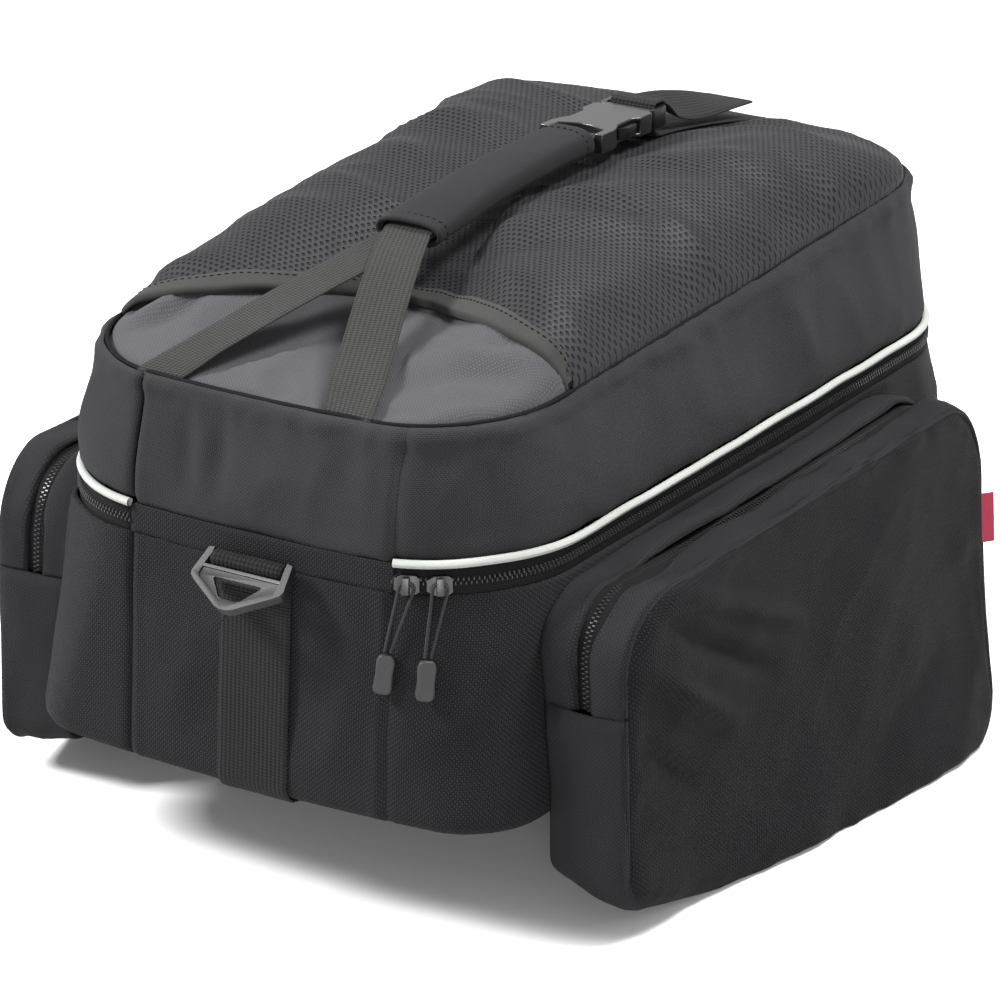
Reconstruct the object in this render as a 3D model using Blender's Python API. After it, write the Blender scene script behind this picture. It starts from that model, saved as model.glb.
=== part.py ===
# Bicycle trunk bag: a zipped main body with a crowned lid, two hanging side pockets,
# a top mesh pocket, a sleeved carrying handle with a side-release buckle, and a ring strap.
# Metres, +Z up. X is the width and Y the length, with the ring strap at the -Y end.
# Heights are counted from the flat base until the bag is stood on its pockets at the end.

import math

import bmesh
import bpy
from mathutils import Matrix, Vector
from mathutils.bvhtree import BVHTree

# Main body
BODY_WIDTH = 0.253
BODY_LENGTH = 0.4434
ZIP_HEIGHT = 0.1235
BASE_FLARE = 0.0083
BASE_EDGE = 0.008
BASE_CORNER = 0.036
FRONT_SEAM_LEFT = 0.0635
FRONT_SEAM_RIGHT = 0.0765
BACK_SEAM = 0.070
ZIP_CORNER = 0.063
END_BULGE = 0.009
SIDE_BULGE = 0.002
WALL = 0.004
GAP = 0.0003
SEAM_STEP = 0.0004
BULGE_POWER = 3

# Lid
LID_FRONT = 0.181
LID_BACK = 0.198
LID_DRAFT = 0.0107
LID_CORNER = 0.054
LID_BELLY = 0.0025
CROWN = 0.0395
CROWN_SIDE_POWER = 7.0
CROWN_FRONT_POWER = 1.15
CROWN_BACK_POWER = 2.6
HANDLE_DIP = 0.010
HANDLE_DIP_WIDTH = 0.038
CROWN_END_SHARE = 0.6

# Main zip and the piping over it
TAPE_HEIGHT = 0.0115
TAPE_THICK = 0.002
TAPE_RECESS = 0.0008
PIPING = 0.004
PIPING_STANDS = 0.0018

# Side pockets
POCKET_START = 0.0347
POCKET_LENGTH = 0.338
POCKET_TOP = 0.108
POCKET_DROP = 0.052
POCKET_DEPTH = 0.0485
POCKET_FRONT_TUCK = 0.004
POCKET_SWING = 0.0336
POCKET_SLANT = 0.044
POCKET_RISE = 0.018
POCKET_RISE_LENGTH = 0.097
POCKET_INNER_TOP = 0.104
POCKET_INNER_BOTTOM = 0.027
POCKET_BELLY = 0.007
POCKET_WALL = 0.0025
POCKET_GAP = 0.0007
POCKET_LAG = 0.008
SWING_STILL = 0.88
SWING_FULL = 0.76
SWING_POWER = 1.5
TUCK_SHARE = 0.1
RISE_POWER = 1.6
POCKET_ZIP_END = 0.056
POCKET_TAPE_WIDTH = 0.0165
POCKET_TAPE_THICK = 0.0015
POCKET_TAPE_EDGE = 0.0004
LABEL_WIDTH = 0.007
LABEL_HEIGHT = 0.0228
LABEL_THICK = 0.0012
LABEL_TOP = 0.058

# Top pocket
MESH_THICK = 0.0014
LAY_GAP = 0.0007
SEARCH = 0.003
BINDING_WIDTH = 0.014
BINDING_THICK = 0.0016
BINDING_MIDDLE = 0.0875
BINDING_ARCH = 0.022
BINDING_WAVE = 0.105
BINDING_SKEW = 0.009
BINDING_SHORT = 0.003

# Handle
STRAP_WIDTH = 0.025
STRAP_THICK = 0.0015
STRAP_BOW = 0.002
STRAP_FROM_LEFT = 0.055
STRAP_FROM_RIGHT = 0.0465
SLEEVE_START = 0.1247
SLEEVE_LENGTH = 0.140
SLEEVE_WIDTH = 0.0355
SLEEVE_TAPER = 0.006
SLEEVE_HEIGHT = 0.0125
SLEEVE_SWELL = 0.0035
SLEEVE_WALL = 0.0016
SLEEVE_LIFT = 0.0365
SLEEVE_RISE = 0.0075
SLEEVE_BOW = 0.003

# Side-release buckle
BUCKLE_WIDTH = 0.033
BUCKLE_HEIGHT = 0.0098
BUCKLE_TILT = math.radians(-1.5)
FEMALE_LENGTH = 0.050
MALE_LENGTH = 0.0155
MALE_HEIGHT = 0.0095
PLATE = 0.0018
PRONG_CLEARANCE = 0.0004

# Front strap and ring
FRONT_STRAP_WIDTH = 0.038
FRONT_STRAP_THICK = 0.0016
FRONT_STRAP_SIDE = 0.008
FRONT_STRAP_UNDER = 0.035
RING_HEIGHT = 0.1117
RING_WIDTH = 0.0496
RING_DROP = 0.0254
RING_BAR = 0.0036
RING_THICK = 0.0046
RING_PANEL = 0.003
STRAP_PLAY = 0.0006
RING_TILT = math.radians(52)

# Zip sliders, pull cords and pull tabs
SLIDER_LENGTH = 0.0115
SLIDER_DROP = 0.0068
SLIDER_WIDTH = 0.0085
SLIDER_THICK = 0.0032
BRIDGE_HEIGHT = 0.0040
BRIDGE_WIDTH = 0.0030
CORD = 0.0015
TAB_LENGTH = 0.0185
TAB_WIDTH = 0.0085
TAB_THICK = 0.0038
TAB_STAND = 0.0005
CORD_BEND = 0.0034
CORD_SPREAD = 0.0013
CORD_STRAIGHT = 0.0055
CORD_HIGH = 0.0012

# Smoothness of the soft forms
FRONT_CELLS = 8
SIDE_CELLS = 6
CORNER_CELLS = 5
SLEEVE_CELLS = 20
SLEEVE_ROWS = 8
SLEEVE_SQUARE_X = 0.65
SLEEVE_SQUARE_Z = 0.8

HALF_WIDTH = BODY_WIDTH / 2
HALF_LENGTH = BODY_LENGTH / 2
TOP_HALF_WIDTH = HALF_WIDTH - LID_DRAFT
TOP_HALF_LENGTH = HALF_LENGTH - LID_DRAFT
TAPE_TOP = ZIP_HEIGHT - PIPING / 2 - GAP
TUB_RIM = TAPE_TOP - TAPE_HEIGHT - GAP

CLOTH_BLACK = (0.012, 0.012, 0.014)
CLOTH_GREY = (0.035, 0.035, 0.038)
WEB_OLIVE = (0.045, 0.046, 0.040)
PLASTIC_GREY = (0.16, 0.16, 0.17)


def start_scene():
    for thing in list(bpy.data.objects):
        bpy.data.objects.remove(thing)
    frame = bpy.data.objects.new("trunk_bag", None)
    bpy.context.collection.objects.link(frame)
    return frame


def material(name, colour, roughness, metallic=0.0):
    made = bpy.data.materials.get(name)
    if made is None:
        made = bpy.data.materials.new(name)
        made.use_nodes = True
        shader = made.node_tree.nodes["Principled BSDF"]
        shader.inputs["Base Color"].default_value = (*colour, 1.0)
        shader.inputs["Roughness"].default_value = roughness
        shader.inputs["Metallic"].default_value = metallic
    return made


def add_object(name, mesh, finish, parent):
    mesh.materials.append(finish)
    mesh.shade_smooth()
    mesh.set_sharp_from_angle(angle=math.radians(40))
    made = bpy.data.objects.new(name, mesh)
    bpy.context.collection.objects.link(made)
    made.parent = parent
    return made


def mix(a, b, share):
    return a + (b - a) * share


def shares(cells):
    return [k / cells for k in range(cells + 1)]


# Cloth walls: two grids of points, outer and inner, closed along every open edge

def cloth(name, outer, inner, closed=True, cap_first=False, cap_last=False, holes=()):
    """A solid wall between two grids of rows. holes lists (row, column) cells left open in both."""
    columns = len(outer[0])
    mesh = bmesh.new()

    def add_rows(rows):
        return [[mesh.verts.new(point) for point in row] for row in rows]

    def row_faces(rows):
        for j in range(len(rows) - 1):
            for i in range(columns if closed else columns - 1):
                if (j, i) not in holes:
                    k = (i + 1) % columns
                    a, b, c, d = rows[j][i], rows[j][k], rows[j + 1][k], rows[j + 1][i]
                    yield (a, b, c)
                    yield (a, c, d)

    def cap_faces(row, first):
        centre = mesh.verts.new(sum((v.co for v in row), Vector()) / columns)
        for i in range(columns):
            a, b = row[i], row[(i + 1) % columns]
            yield (b, a, centre) if first else (a, b, centre)

    def side(rows):
        faces = list(row_faces(rows))
        if cap_first:
            faces += cap_faces(rows[0], True)
        if cap_last:
            faces += cap_faces(rows[-1], False)
        return faces

    outside = add_rows(outer)
    inside = add_rows(inner)
    outer_faces = side(outside)
    inner_faces = side(inside)
    mesh.verts.index_update()
    edges = {(f[k], f[(k + 1) % 3]) for f in outer_faces for k in range(3)}
    twin = {}
    for j, row in enumerate(outside):
        last = j == len(outside) - 1
        match = inside[-1] if last else inside[j] if len(inside) == len(outside) else inside[0]
        twin.update(zip(row, match))
    for face in outer_faces:
        mesh.faces.new(face)
    for face in inner_faces:
        mesh.faces.new(face[::-1])
    for a, b in sorted(edges, key=lambda edge: (edge[0].index, edge[1].index)):
        if (b, a) not in edges:
            mesh.faces.new((b, a, twin[a]))
            mesh.faces.new((b, twin[a], twin[b]))
    bmesh.ops.recalc_face_normals(mesh, faces=mesh.faces)
    made = bpy.data.meshes.new(name)
    mesh.to_mesh(made)
    mesh.free()
    return made


def ribbon(name, path, thickness):
    """A strap: path holds (left point, right point) pairs on its upper face."""
    upper = []
    lower = []
    for k, (left, right) in enumerate(path):
        before = path[max(k - 1, 0)]
        after = path[min(k + 1, len(path) - 1)]
        along = (after[0] + after[1] - before[0] - before[1]).normalized()
        normal = (right - left).cross(along).normalized()
        upper.append([left, right])
        lower.append([left - normal * thickness, right - normal * thickness])
    return cloth(name, upper, lower, closed=False)


def prism(outline, thickness):
    """A plate: outline in X and Z, centred on Y."""
    mesh = bmesh.new()
    front = [mesh.verts.new((x, -thickness / 2, z)) for x, z in outline]
    back = [mesh.verts.new((x, thickness / 2, z)) for x, z in outline]
    mesh.faces.new(front)
    mesh.faces.new(back[::-1])
    for k in range(len(outline)):
        n = (k + 1) % len(outline)
        mesh.faces.new((front[n], front[k], back[k], back[n]))
    bmesh.ops.recalc_face_normals(mesh, faces=mesh.faces)
    made = bpy.data.meshes.new("plate")
    mesh.to_mesh(made)
    mesh.free()
    return made


def block(low, high):
    outline = [(low[0], low[2]), (high[0], low[2]), (high[0], high[2]), (low[0], high[2])]
    mesh = prism(outline, high[1] - low[1])
    mesh.transform(Matrix.Translation((0, (low[1] + high[1]) / 2, 0)))
    return mesh


def flat_plate(outline, low, high):
    """A plate: outline in X and Y, from height low to high."""
    mesh = prism([(x, -y) for x, y in outline], high - low)
    mesh.transform(Matrix.Rotation(math.pi / 2, 4, "X"))
    mesh.transform(Matrix.Translation((0, 0, (low + high) / 2)))
    return mesh


def mirrored(points):
    """An outline's right half, from front to back, closed by its mirror image."""
    return list(points) + [(-x, y) for x, y in reversed(points)]


def cut_and_join(base, others):
    """Applies (operation, mesh) steps to the base object as exact Booleans on hidden tools."""
    for operation, mesh in others:
        tool = bpy.data.objects.new(base.name + "_tool", mesh)
        bpy.context.collection.objects.link(tool)
        tool.hide_render = True
        tool.display_type = "WIRE"
        tool.parent = base
        step = base.modifiers.new(operation.lower(), "BOOLEAN")
        step.operation = operation
        step.object = tool


# Plan rings of the body

def corner_run(seam, half_x, half_y, radius):
    """From an end seam round the corner to the start of the side, evenly spaced."""
    run_x = half_x - radius
    straight = max(0, run_x - seam)
    turned = math.asin(min(1, max(0, seam - run_x) / radius))
    length = straight + radius * (math.pi / 2 - turned)
    points = []
    for share in shares(CORNER_CELLS):
        way = mix(SEAM_STEP, length, share)
        if way < straight:
            points.append((seam + way, half_y))
        else:
            turn = turned + (way - straight) / radius
            x = run_x + radius * math.sin(turn)
            points.append((x, half_y - radius * (1 - math.cos(turn))))
    return points


def plan_ring(half_x, half_y, radius):
    """A rounded rectangle from the left front seam, along the front, and round the body."""
    run_y = half_y - radius

    def end_run(left, right):
        points = []
        for share in shares(FRONT_CELLS):
            x = mix(-left, right, share)
            over = min(radius, max(0, abs(x) - half_x + radius))
            points.append((x, half_y - radius + math.sqrt(radius**2 - over**2)))
        return points

    front = end_run(FRONT_SEAM_LEFT, FRONT_SEAM_RIGHT)
    back = end_run(BACK_SEAM, BACK_SEAM)
    right = [(half_x, mix(-run_y, run_y, share)) for share in shares(SIDE_CELLS)[1:-1]]
    left = [(-x, -y) for x, y in right]
    front_right = corner_run(FRONT_SEAM_RIGHT, half_x, half_y, radius)
    front_left = corner_run(FRONT_SEAM_LEFT, half_x, half_y, radius)
    back_corner = corner_run(BACK_SEAM, half_x, half_y, radius)
    return (
        [(x, -y) for x, y in front + front_right]
        + right
        + back_corner[::-1]
        + [(-x, y) for x, y in back[1:-1]]
        + [(-x, y) for x, y in back_corner]
        + left
        + [(-x, -y) for x, y in front_left[::-1]]
    )


RING_POINTS = 2 * FRONT_CELLS + 2 * SIDE_CELLS + 4 * CORNER_CELLS + 2
ZIP_COLUMNS = range(FRONT_CELLS + 1, RING_POINTS)


def bulged(x, y, half_x, half_y):
    """Stuffed sides bow outwards between the corners."""
    u = x / half_x
    v = y / half_y
    out_x = SIDE_BULGE * (1 - min(1, v * v)) * abs(u) ** BULGE_POWER
    out_y = END_BULGE * (1 - min(1, u * u)) * abs(v) ** BULGE_POWER
    return x + math.copysign(out_x, x), y + math.copysign(out_y, y)


def body_size(height):
    """Half width, half length and corner radius of the lower body at a height."""
    share = max(0, height) / ZIP_HEIGHT
    flare = BASE_FLARE * (1 - share)
    below = max(0, BASE_EDGE - height)
    inset = BASE_EDGE - math.sqrt(max(0, BASE_EDGE**2 - below**2))
    radius = mix(BASE_CORNER, ZIP_CORNER, share) - inset
    return HALF_WIDTH + flare - inset, HALF_LENGTH + flare - inset, radius


def lid_size(share):
    """The same for the lid's side band, from the zip line (0) to the top seam (1)."""
    inset = LID_DRAFT * share - LID_BELLY * math.sin(math.pi * share)
    return HALF_WIDTH - inset, HALF_LENGTH - inset, mix(ZIP_CORNER, LID_CORNER, share)


def body_ring(height, inset=0.0):
    """One ring of the lower body. height is one number, or one for each column."""
    heights = height if isinstance(height, list) else [height] * RING_POINTS
    rings = {}
    points = []
    for column, z in enumerate(heights):
        half_x, half_y, radius = body_size(z)
        if z not in rings:
            rings[z] = plan_ring(half_x - inset, half_y - inset, radius - inset)
        x, y = bulged(*rings[z][column], half_x, half_y)
        points.append(Vector((x, y, z)))
    return points


def seam_height(y):
    return mix(LID_FRONT, LID_BACK, (y + HALF_LENGTH) / BODY_LENGTH)


def by_column(front, zip_part):
    return [zip_part if column in ZIP_COLUMNS else front for column in range(RING_POINTS)]


def band_ring(share, inset=0.0, lower=0.0):
    """One ring of the lid's side band."""
    half_x, half_y, radius = lid_size(share)
    rims = by_column(ZIP_HEIGHT + GAP / 2, ZIP_HEIGHT + PIPING / 2 + GAP)
    points = []
    for (x, y), rim in zip(plan_ring(half_x - inset, half_y - inset, radius - inset), rims):
        top = seam_height(y) - lower
        points.append(Vector((*bulged(x, y, half_x, half_y), mix(rim, top, share))))
    return points


def crown_ring(share, inset=0.0, lower=0.0, raised=0.0):
    """One ring of the lid's top, from the seam (1) towards the middle (0)."""
    points = []
    for x, y in plan_ring(TOP_HALF_WIDTH - inset, TOP_HALF_LENGTH - inset, LID_CORNER - inset):
        to_end = (abs(y) / TOP_HALF_LENGTH - CROWN_END_SHARE) / (1 - CROWN_END_SHARE)
        end_power = CROWN_FRONT_POWER if y < 0 else CROWN_BACK_POWER
        power = mix(CROWN_SIDE_POWER, end_power, min(1, max(0, to_end)))
        x, y = x * share, y * share
        dip = HANDLE_DIP * math.exp(-((x / HANDLE_DIP_WIDTH) ** 2)) * (1 - share**4)
        z = seam_height(y) + CROWN * (1 - share**power) - dip - lower + raised
        points.append(Vector((*bulged(x, y, TOP_HALF_WIDTH, TOP_HALF_LENGTH), z)))
    return points


CROWN_SHARES = (0.96, 0.91, 0.83, 0.70, 0.52, 0.32, 0.12)


def lower_tub(frame, finish):
    rim = by_column(ZIP_HEIGHT - GAP / 2, TUB_RIM)
    levels = [0.0, 0.3 * BASE_EDGE, BASE_EDGE, 0.35 * ZIP_HEIGHT, 0.65 * ZIP_HEIGHT]
    outer = [body_ring(level) for level in levels] + [body_ring(rim)]
    floor = [WALL, BASE_EDGE, 0.5 * ZIP_HEIGHT]
    inner = [body_ring(level, WALL) for level in floor]
    for point in inner[0]:
        point.z = WALL
    inner += [body_ring(rim, WALL)]
    mesh = cloth("lower_tub", outer[::-1], inner[::-1], cap_last=True)
    return add_object("lower_tub", mesh, finish, frame)


def lid_shell(frame, finish):
    outer = [band_ring(share) for share in (0, 0.3, 0.65, 1)]
    outer += [crown_ring(share) for share in CROWN_SHARES]
    inner = [band_ring(share, WALL, WALL) for share in (0, 0.5, 1)]
    inner += [crown_ring(share, WALL, WALL) for share in (0.9, 0.78, 0.6, 0.35)]
    mesh = cloth("lid_shell", outer, inner, cap_last=True)
    return add_object("lid_shell", mesh, finish, frame)


def zip_strip(name, low, high, stands, depth, frame, finish):
    """A strip round the zip's columns: it stands out from the body's face, and goes in by depth."""
    def strip_row(share, out):
        ring_points = body_ring(mix(low, high, share), -out)
        return [ring_points[column] for column in ZIP_COLUMNS]

    edge = min(stands, 0)
    outer = [strip_row(0, edge), strip_row(0.5, stands), strip_row(1, edge)]
    inner = [strip_row(share, stands - depth) for share in (0, 0.5, 1)]
    if stands == edge:
        outer, inner = outer[::2], inner[::2]
    mesh = cloth(name, outer, inner, closed=False)
    return add_object(name, mesh, finish, frame)


# Side pockets: rings in Y and Z, carried from the body's side to the pocket's face

POCKET_FRONT = -HALF_LENGTH + POCKET_START
POCKET_BACK = POCKET_FRONT + POCKET_LENGTH

POCKET_ARC_CELLS = 4
POCKET_TOP_CELLS = 9
POCKET_BOTTOM_CELLS = 7
POCKET_SIDE_CELLS = 2
FACE_RADII = {"front_top": 0.035, "back_top": 0.035, "back_bottom": 0.036, "front_bottom": 0.014}
BACK_RADII = {"front_top": 0.026, "back_top": 0.030, "back_bottom": 0.030, "front_bottom": 0.010}


def corner_arc(corner, before, after, radius):
    """Points of a rounded corner between two neighbours, evenly turned."""
    to_before = (before - corner).normalized()
    to_after = (after - corner).normalized()
    half = to_before.angle(to_after) / 2
    reach = radius / math.tan(half)
    centre = corner + (to_before + to_after).normalized() * radius / math.sin(half)
    start = corner + to_before * reach - centre
    end = corner + to_after * reach - centre
    turn = start.angle_signed(end)
    points = []
    for share in shares(POCKET_ARC_CELLS):
        spin = Matrix.Rotation(-turn * share, 2)
        points.append(centre + spin @ start)
    return points


def pocket_loop(corners, radii, zip_end):
    """A closed ring of (y, z) from the front zip end, over the top and back underneath."""
    front_top, back_top, back_bottom, front_bottom = corners
    arcs = [
        corner_arc(front_top, front_bottom, back_top, radii["front_top"]),
        corner_arc(back_top, front_top, back_bottom, radii["back_top"]),
        corner_arc(back_bottom, back_top, front_bottom, radii["back_bottom"]),
        corner_arc(front_bottom, back_bottom, front_top, radii["front_bottom"]),
    ]

    def at_height(a, b, z):
        return a.lerp(b, (z - a.y) / (b.y - a.y))

    def between(a, b, cells):
        return [a.lerp(b, share) for share in shares(cells)[1:-1]]

    front_end = at_height(front_bottom, front_top, zip_end)
    back_end = at_height(back_bottom, back_top, zip_end)
    points = [front_end]
    points += between(front_end, arcs[0][0], POCKET_SIDE_CELLS) + arcs[0]
    points += between(arcs[0][-1], arcs[1][0], POCKET_TOP_CELLS) + arcs[1]
    points += between(arcs[1][-1], back_end, POCKET_SIDE_CELLS) + [back_end]
    points += between(back_end, arcs[2][0], POCKET_SIDE_CELLS) + arcs[2]
    points += between(arcs[2][-1], arcs[3][0], POCKET_BOTTOM_CELLS) + arcs[3]
    points += between(arcs[3][-1], front_end, POCKET_SIDE_CELLS)
    return points


POCKET_ZIP_COLUMNS = 2 * POCKET_SIDE_CELLS + 2 * POCKET_ARC_CELLS + POCKET_TOP_CELLS


def face_loop(inset=0.0, zip_end=POCKET_ZIP_END):
    top = POCKET_TOP - inset
    bottom = -POCKET_DROP + inset
    corners = (
        Vector((POCKET_FRONT + inset, top)),
        Vector((POCKET_BACK - inset, top)),
        Vector((POCKET_BACK - POCKET_SLANT - inset, bottom)),
        Vector((POCKET_FRONT + inset, bottom)),
    )
    radii = {name: radius - inset for name, radius in FACE_RADII.items()}
    return [face_rise(point) for point in pocket_loop(corners, radii, zip_end)]


def face_rise(point):
    """The bottom seam of the face climbs towards the pocket's front."""
    ahead = max(0, 1 - (point.x - POCKET_FRONT) / POCKET_RISE_LENGTH)
    low = max(0, 1 - (point.y + POCKET_DROP) / (POCKET_ZIP_END + POCKET_DROP))
    return Vector((point.x, point.y + POCKET_RISE * ahead**RISE_POWER * low))


def back_loop(inset=0.0, zip_end=POCKET_ZIP_END):
    top = POCKET_INNER_TOP - inset
    bottom = inset - POCKET_INNER_BOTTOM
    slant = POCKET_SLANT * (POCKET_TOP + POCKET_INNER_BOTTOM) / (POCKET_TOP + POCKET_DROP)
    corners = (
        Vector((POCKET_FRONT + inset, top)),
        Vector((POCKET_BACK - inset, top)),
        Vector((POCKET_BACK - slant - inset, bottom)),
        Vector((POCKET_FRONT + inset, bottom)),
    )
    radii = {name: radius - inset for name, radius in BACK_RADII.items()}
    return pocket_loop(corners, radii, zip_end)


def body_side(y, z):
    """How far out the pocket's back lies: on the body's side, drawn a little straighter round its corner."""
    half_x, half_y, radius = body_size(min(ZIP_HEIGHT, max(z, BASE_EDGE)))
    over = max(0, abs(y) - (half_y - radius) - POCKET_LAG)
    x = half_x - radius + math.sqrt(max(0, radius**2 - over**2))
    return bulged(x, y, half_x, half_y)[0]


def face_out(y, z):
    """How far out the pocket's face seam is at a place: its lower back swings outwards."""
    still = SWING_STILL * POCKET_TOP
    low = min(1, max(0, (still - z) / (still + POCKET_DROP)))
    along = min(1, max(0, (y - POCKET_FRONT) / (SWING_FULL * POCKET_LENGTH)))
    swing = POCKET_SWING * low**SWING_POWER * along * along * (3 - 2 * along)
    ahead = max(0, 1 - (y - POCKET_FRONT) / (TUCK_SHARE * POCKET_LENGTH))
    tuck = POCKET_FRONT_TUCK * (1 - low) * ahead
    return HALF_WIDTH + POCKET_DEPTH + swing - tuck


def pocket_ring(share, inset=0.0, zip_end=POCKET_ZIP_END):
    """A gusset ring, from the body's side (0) to the face seam (1)."""
    points = []
    for back, face in zip(back_loop(inset, zip_end), face_loop(inset, zip_end)):
        x_back = body_side(back.x, back.y) + POCKET_GAP + inset
        x_face = face_out(face.x, face.y) - inset
        y, z = back.lerp(face, share)
        points.append(Vector((mix(x_back, x_face, share), y, z)))
    return points


def pocket_panel(loop, share, depth, centre):
    """A ring inside a panel of the pocket: depth(y, z) gives how far out it is."""
    points = []
    for point in loop:
        y, z = centre.lerp(point, share)
        points.append(Vector((depth(y, z, share), y, z)))
    return points


def pocket_rows(inset):
    """All rings of one side pocket, from the middle of its back to the middle of its face."""
    rows = []
    back = back_loop(inset)
    middle = sum(back, Vector((0, 0))) / len(back)
    for share in (0.35, 0.75):
        rows.append(
            pocket_panel(
                back, share, lambda y, z, _: body_side(y, z) + POCKET_GAP + inset, middle
            )
        )
    near = 0.5 - POCKET_TAPE_WIDTH / 2 / POCKET_DEPTH
    for share in (0, near, 1 - near, 1):
        rows.append(pocket_ring(share, inset))
    face = face_loop(inset)
    middle = sum(face, Vector((0, 0))) / len(face)
    for share in (0.88, 0.55, 0.2):
        rows.append(
            pocket_panel(
                face,
                share,
                lambda y, z, s: face_out(y, z) - inset + POCKET_BELLY * (1 - s * s),
                middle,
            )
        )
    return rows


def side_x(rows, side):
    """Rows of the right side as they are, or mirrored to the left side and turned to face out."""
    if side > 0:
        return rows
    return [[Vector((-point.x, point.y, point.z)) for point in row] for row in rows]


def side_pocket(side, name, frame, finish):
    holes = {(3, column) for column in range(POCKET_ZIP_COLUMNS)}
    outer = side_x(pocket_rows(0.0), side)
    inner = side_x(pocket_rows(POCKET_WALL), side)
    mesh = cloth(name, outer, inner, cap_first=True, cap_last=True, holes=holes)
    return add_object(name, mesh, finish, frame)


def pocket_zip(side, name, frame, finish):
    near = 0.5 - (POCKET_TAPE_WIDTH / 2 - POCKET_TAPE_EDGE) / POCKET_DEPTH
    columns = POCKET_ZIP_COLUMNS + 1
    zip_end = POCKET_ZIP_END + GAP
    outer = []
    inner = []
    for share in (near, 0.5, 1 - near):
        outer.append(pocket_ring(share, GAP, zip_end)[:columns])
        inner.append(pocket_ring(share, GAP + POCKET_TAPE_THICK, zip_end)[:columns])
    mesh = cloth(name, side_x(outer, side), side_x(inner, side), closed=False)
    return add_object(name, mesh, finish, frame)


def label(frame, finish):
    """The plain cloth tab in the right pocket's back seam."""
    loop = face_loop()
    column = POCKET_ZIP_COLUMNS + 1
    path = []
    out = Vector((0.6, 0.8, 0))
    for z in (LABEL_TOP, LABEL_TOP - LABEL_HEIGHT):
        upper, lower = loop[column - 1], loop[column]
        y = mix(lower.x, upper.x, (z - lower.y) / (upper.y - lower.y))
        seam = Vector((face_out(y, z), y, z)) + out * (GAP + LABEL_THICK / 4)
        path.append((seam, seam + out * LABEL_WIDTH))
    mesh = ribbon("side_label", path, LABEL_THICK)
    return add_object("side_label", mesh, finish, frame)


# Top pocket

def binding_line(x):
    """The arched front edge of the mesh: Y at a place across the lid."""
    middle = -TOP_HALF_LENGTH + BINDING_MIDDLE
    arch = BINDING_ARCH * math.cos(math.pi * x / BINDING_WAVE)
    return middle + arch + BINDING_SKEW * x / TOP_HALF_WIDTH


def binding_stations():
    reach = TOP_HALF_WIDTH - BINDING_SHORT
    return [mix(-reach, reach, share) for share in shares(20)]


def mesh_panel(frame, finish):
    outer = [crown_ring(share, raised=LAY_GAP + MESH_THICK) for share in CROWN_SHARES]
    inner = [crown_ring(share, raised=LAY_GAP) for share in CROWN_SHARES]
    mesh = cloth("mesh_panel", outer, inner, cap_last=True)
    panel = add_object("mesh_panel", mesh, finish, frame)
    line = [(x, binding_line(x)) for x in binding_stations()]
    beyond = 1.1 * TOP_HALF_WIDTH
    front = -1.2 * HALF_LENGTH
    line = [(-beyond, line[0][1])] + line + [(beyond, line[-1][1])]
    outline = [(-beyond, front), (beyond, front)] + line[::-1]
    cut_and_join(panel, [("DIFFERENCE", flat_plate(outline, ZIP_HEIGHT, 2 * LID_BACK))])
    return panel


def ground(thing):
    """A tree that answers where a piece's surface is, straight below a place."""
    mesh = thing.data
    faces = [tuple(face.vertices) for face in mesh.polygons]
    return BVHTree.FromPolygons([vertex.co for vertex in mesh.vertices], faces)


def height_at(tree, x, y, reach=0.0):
    """The highest point of a surface within reach of a place."""
    best = None
    for dx in (-reach, 0, reach):
        for dy in (-reach, 0, reach):
            hit = tree.ray_cast(Vector((x + dx, y + dy, 1)), Vector((0, 0, -1)))[0]
            if hit is not None:
                best = hit.z if best is None else max(best, hit.z)
    return best


def mesh_binding(tree, frame, finish):
    path = []
    for x in binding_stations():
        y = binding_line(x) - GAP - 0.4 * BINDING_THICK
        slope = (binding_line(x + GAP) - binding_line(x - GAP)) / (2 * GAP)
        across = Vector((slope, -1)).normalized() * BINDING_WIDTH
        back = Vector((x, y))
        front = back + across
        lift = LAY_GAP + BINDING_THICK
        points = []
        for place in (front, back):
            half = TOP_HALF_WIDTH - BINDING_SHORT / 2
            px = min(half, max(-half, place.x))
            z = height_at(tree, px, place.y, SEARCH) + lift
            points.append(Vector((px, place.y, z)))
        path.append(tuple(points))
    mesh = ribbon("mesh_binding", [(b, a) for a, b in path], BINDING_THICK)
    return add_object("mesh_binding", mesh, finish, frame)


# Handle

BUCKLE_START = 0.0025
FOLD = 0.0023
FOLD_END = 0.0012
TAIL_REACH = 0.972
TAIL_LIFT = 0.0145
TAIL_SAG = 0.0015
SEAM_REACH = 0.002
CLIMB_START = 0.006
CLIMB_LENGTH = 0.004
CROSS_LIFT = 0.0014
TURN = 0.001


def clear_height(tree, x, y, reach):
    """The height that clears the lid, and the mesh or its binding where they lie on it."""
    z = height_at(tree, x, y, reach)
    start = binding_line(x) - BINDING_WIDTH - CLIMB_START
    share = min(1, max(0, (y - start) / CLIMB_LENGTH))
    return z + share * (LAY_GAP + BINDING_THICK) + GAP


def sleeve_centre(share):
    y = -HALF_LENGTH + SLEEVE_START + SLEEVE_LENGTH * share
    z = seam_height(0) + SLEEVE_LIFT + SLEEVE_RISE * share
    return Vector((0, y, z + SLEEVE_BOW * math.sin(math.pi * share)))


def crosswise(centre, half, direction=Vector((1, 0, 0))):
    return centre - direction * half, centre + direction * half


def buckle_point(along, up):
    """A place in the buckle's own frame: along it towards the back, and up from its middle plane."""
    start = sleeve_centre(1) + Vector((0, BUCKLE_START, 0))
    return start + Matrix.Rotation(BUCKLE_TILT, 3, "X") @ Vector((0, along, up))


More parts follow.
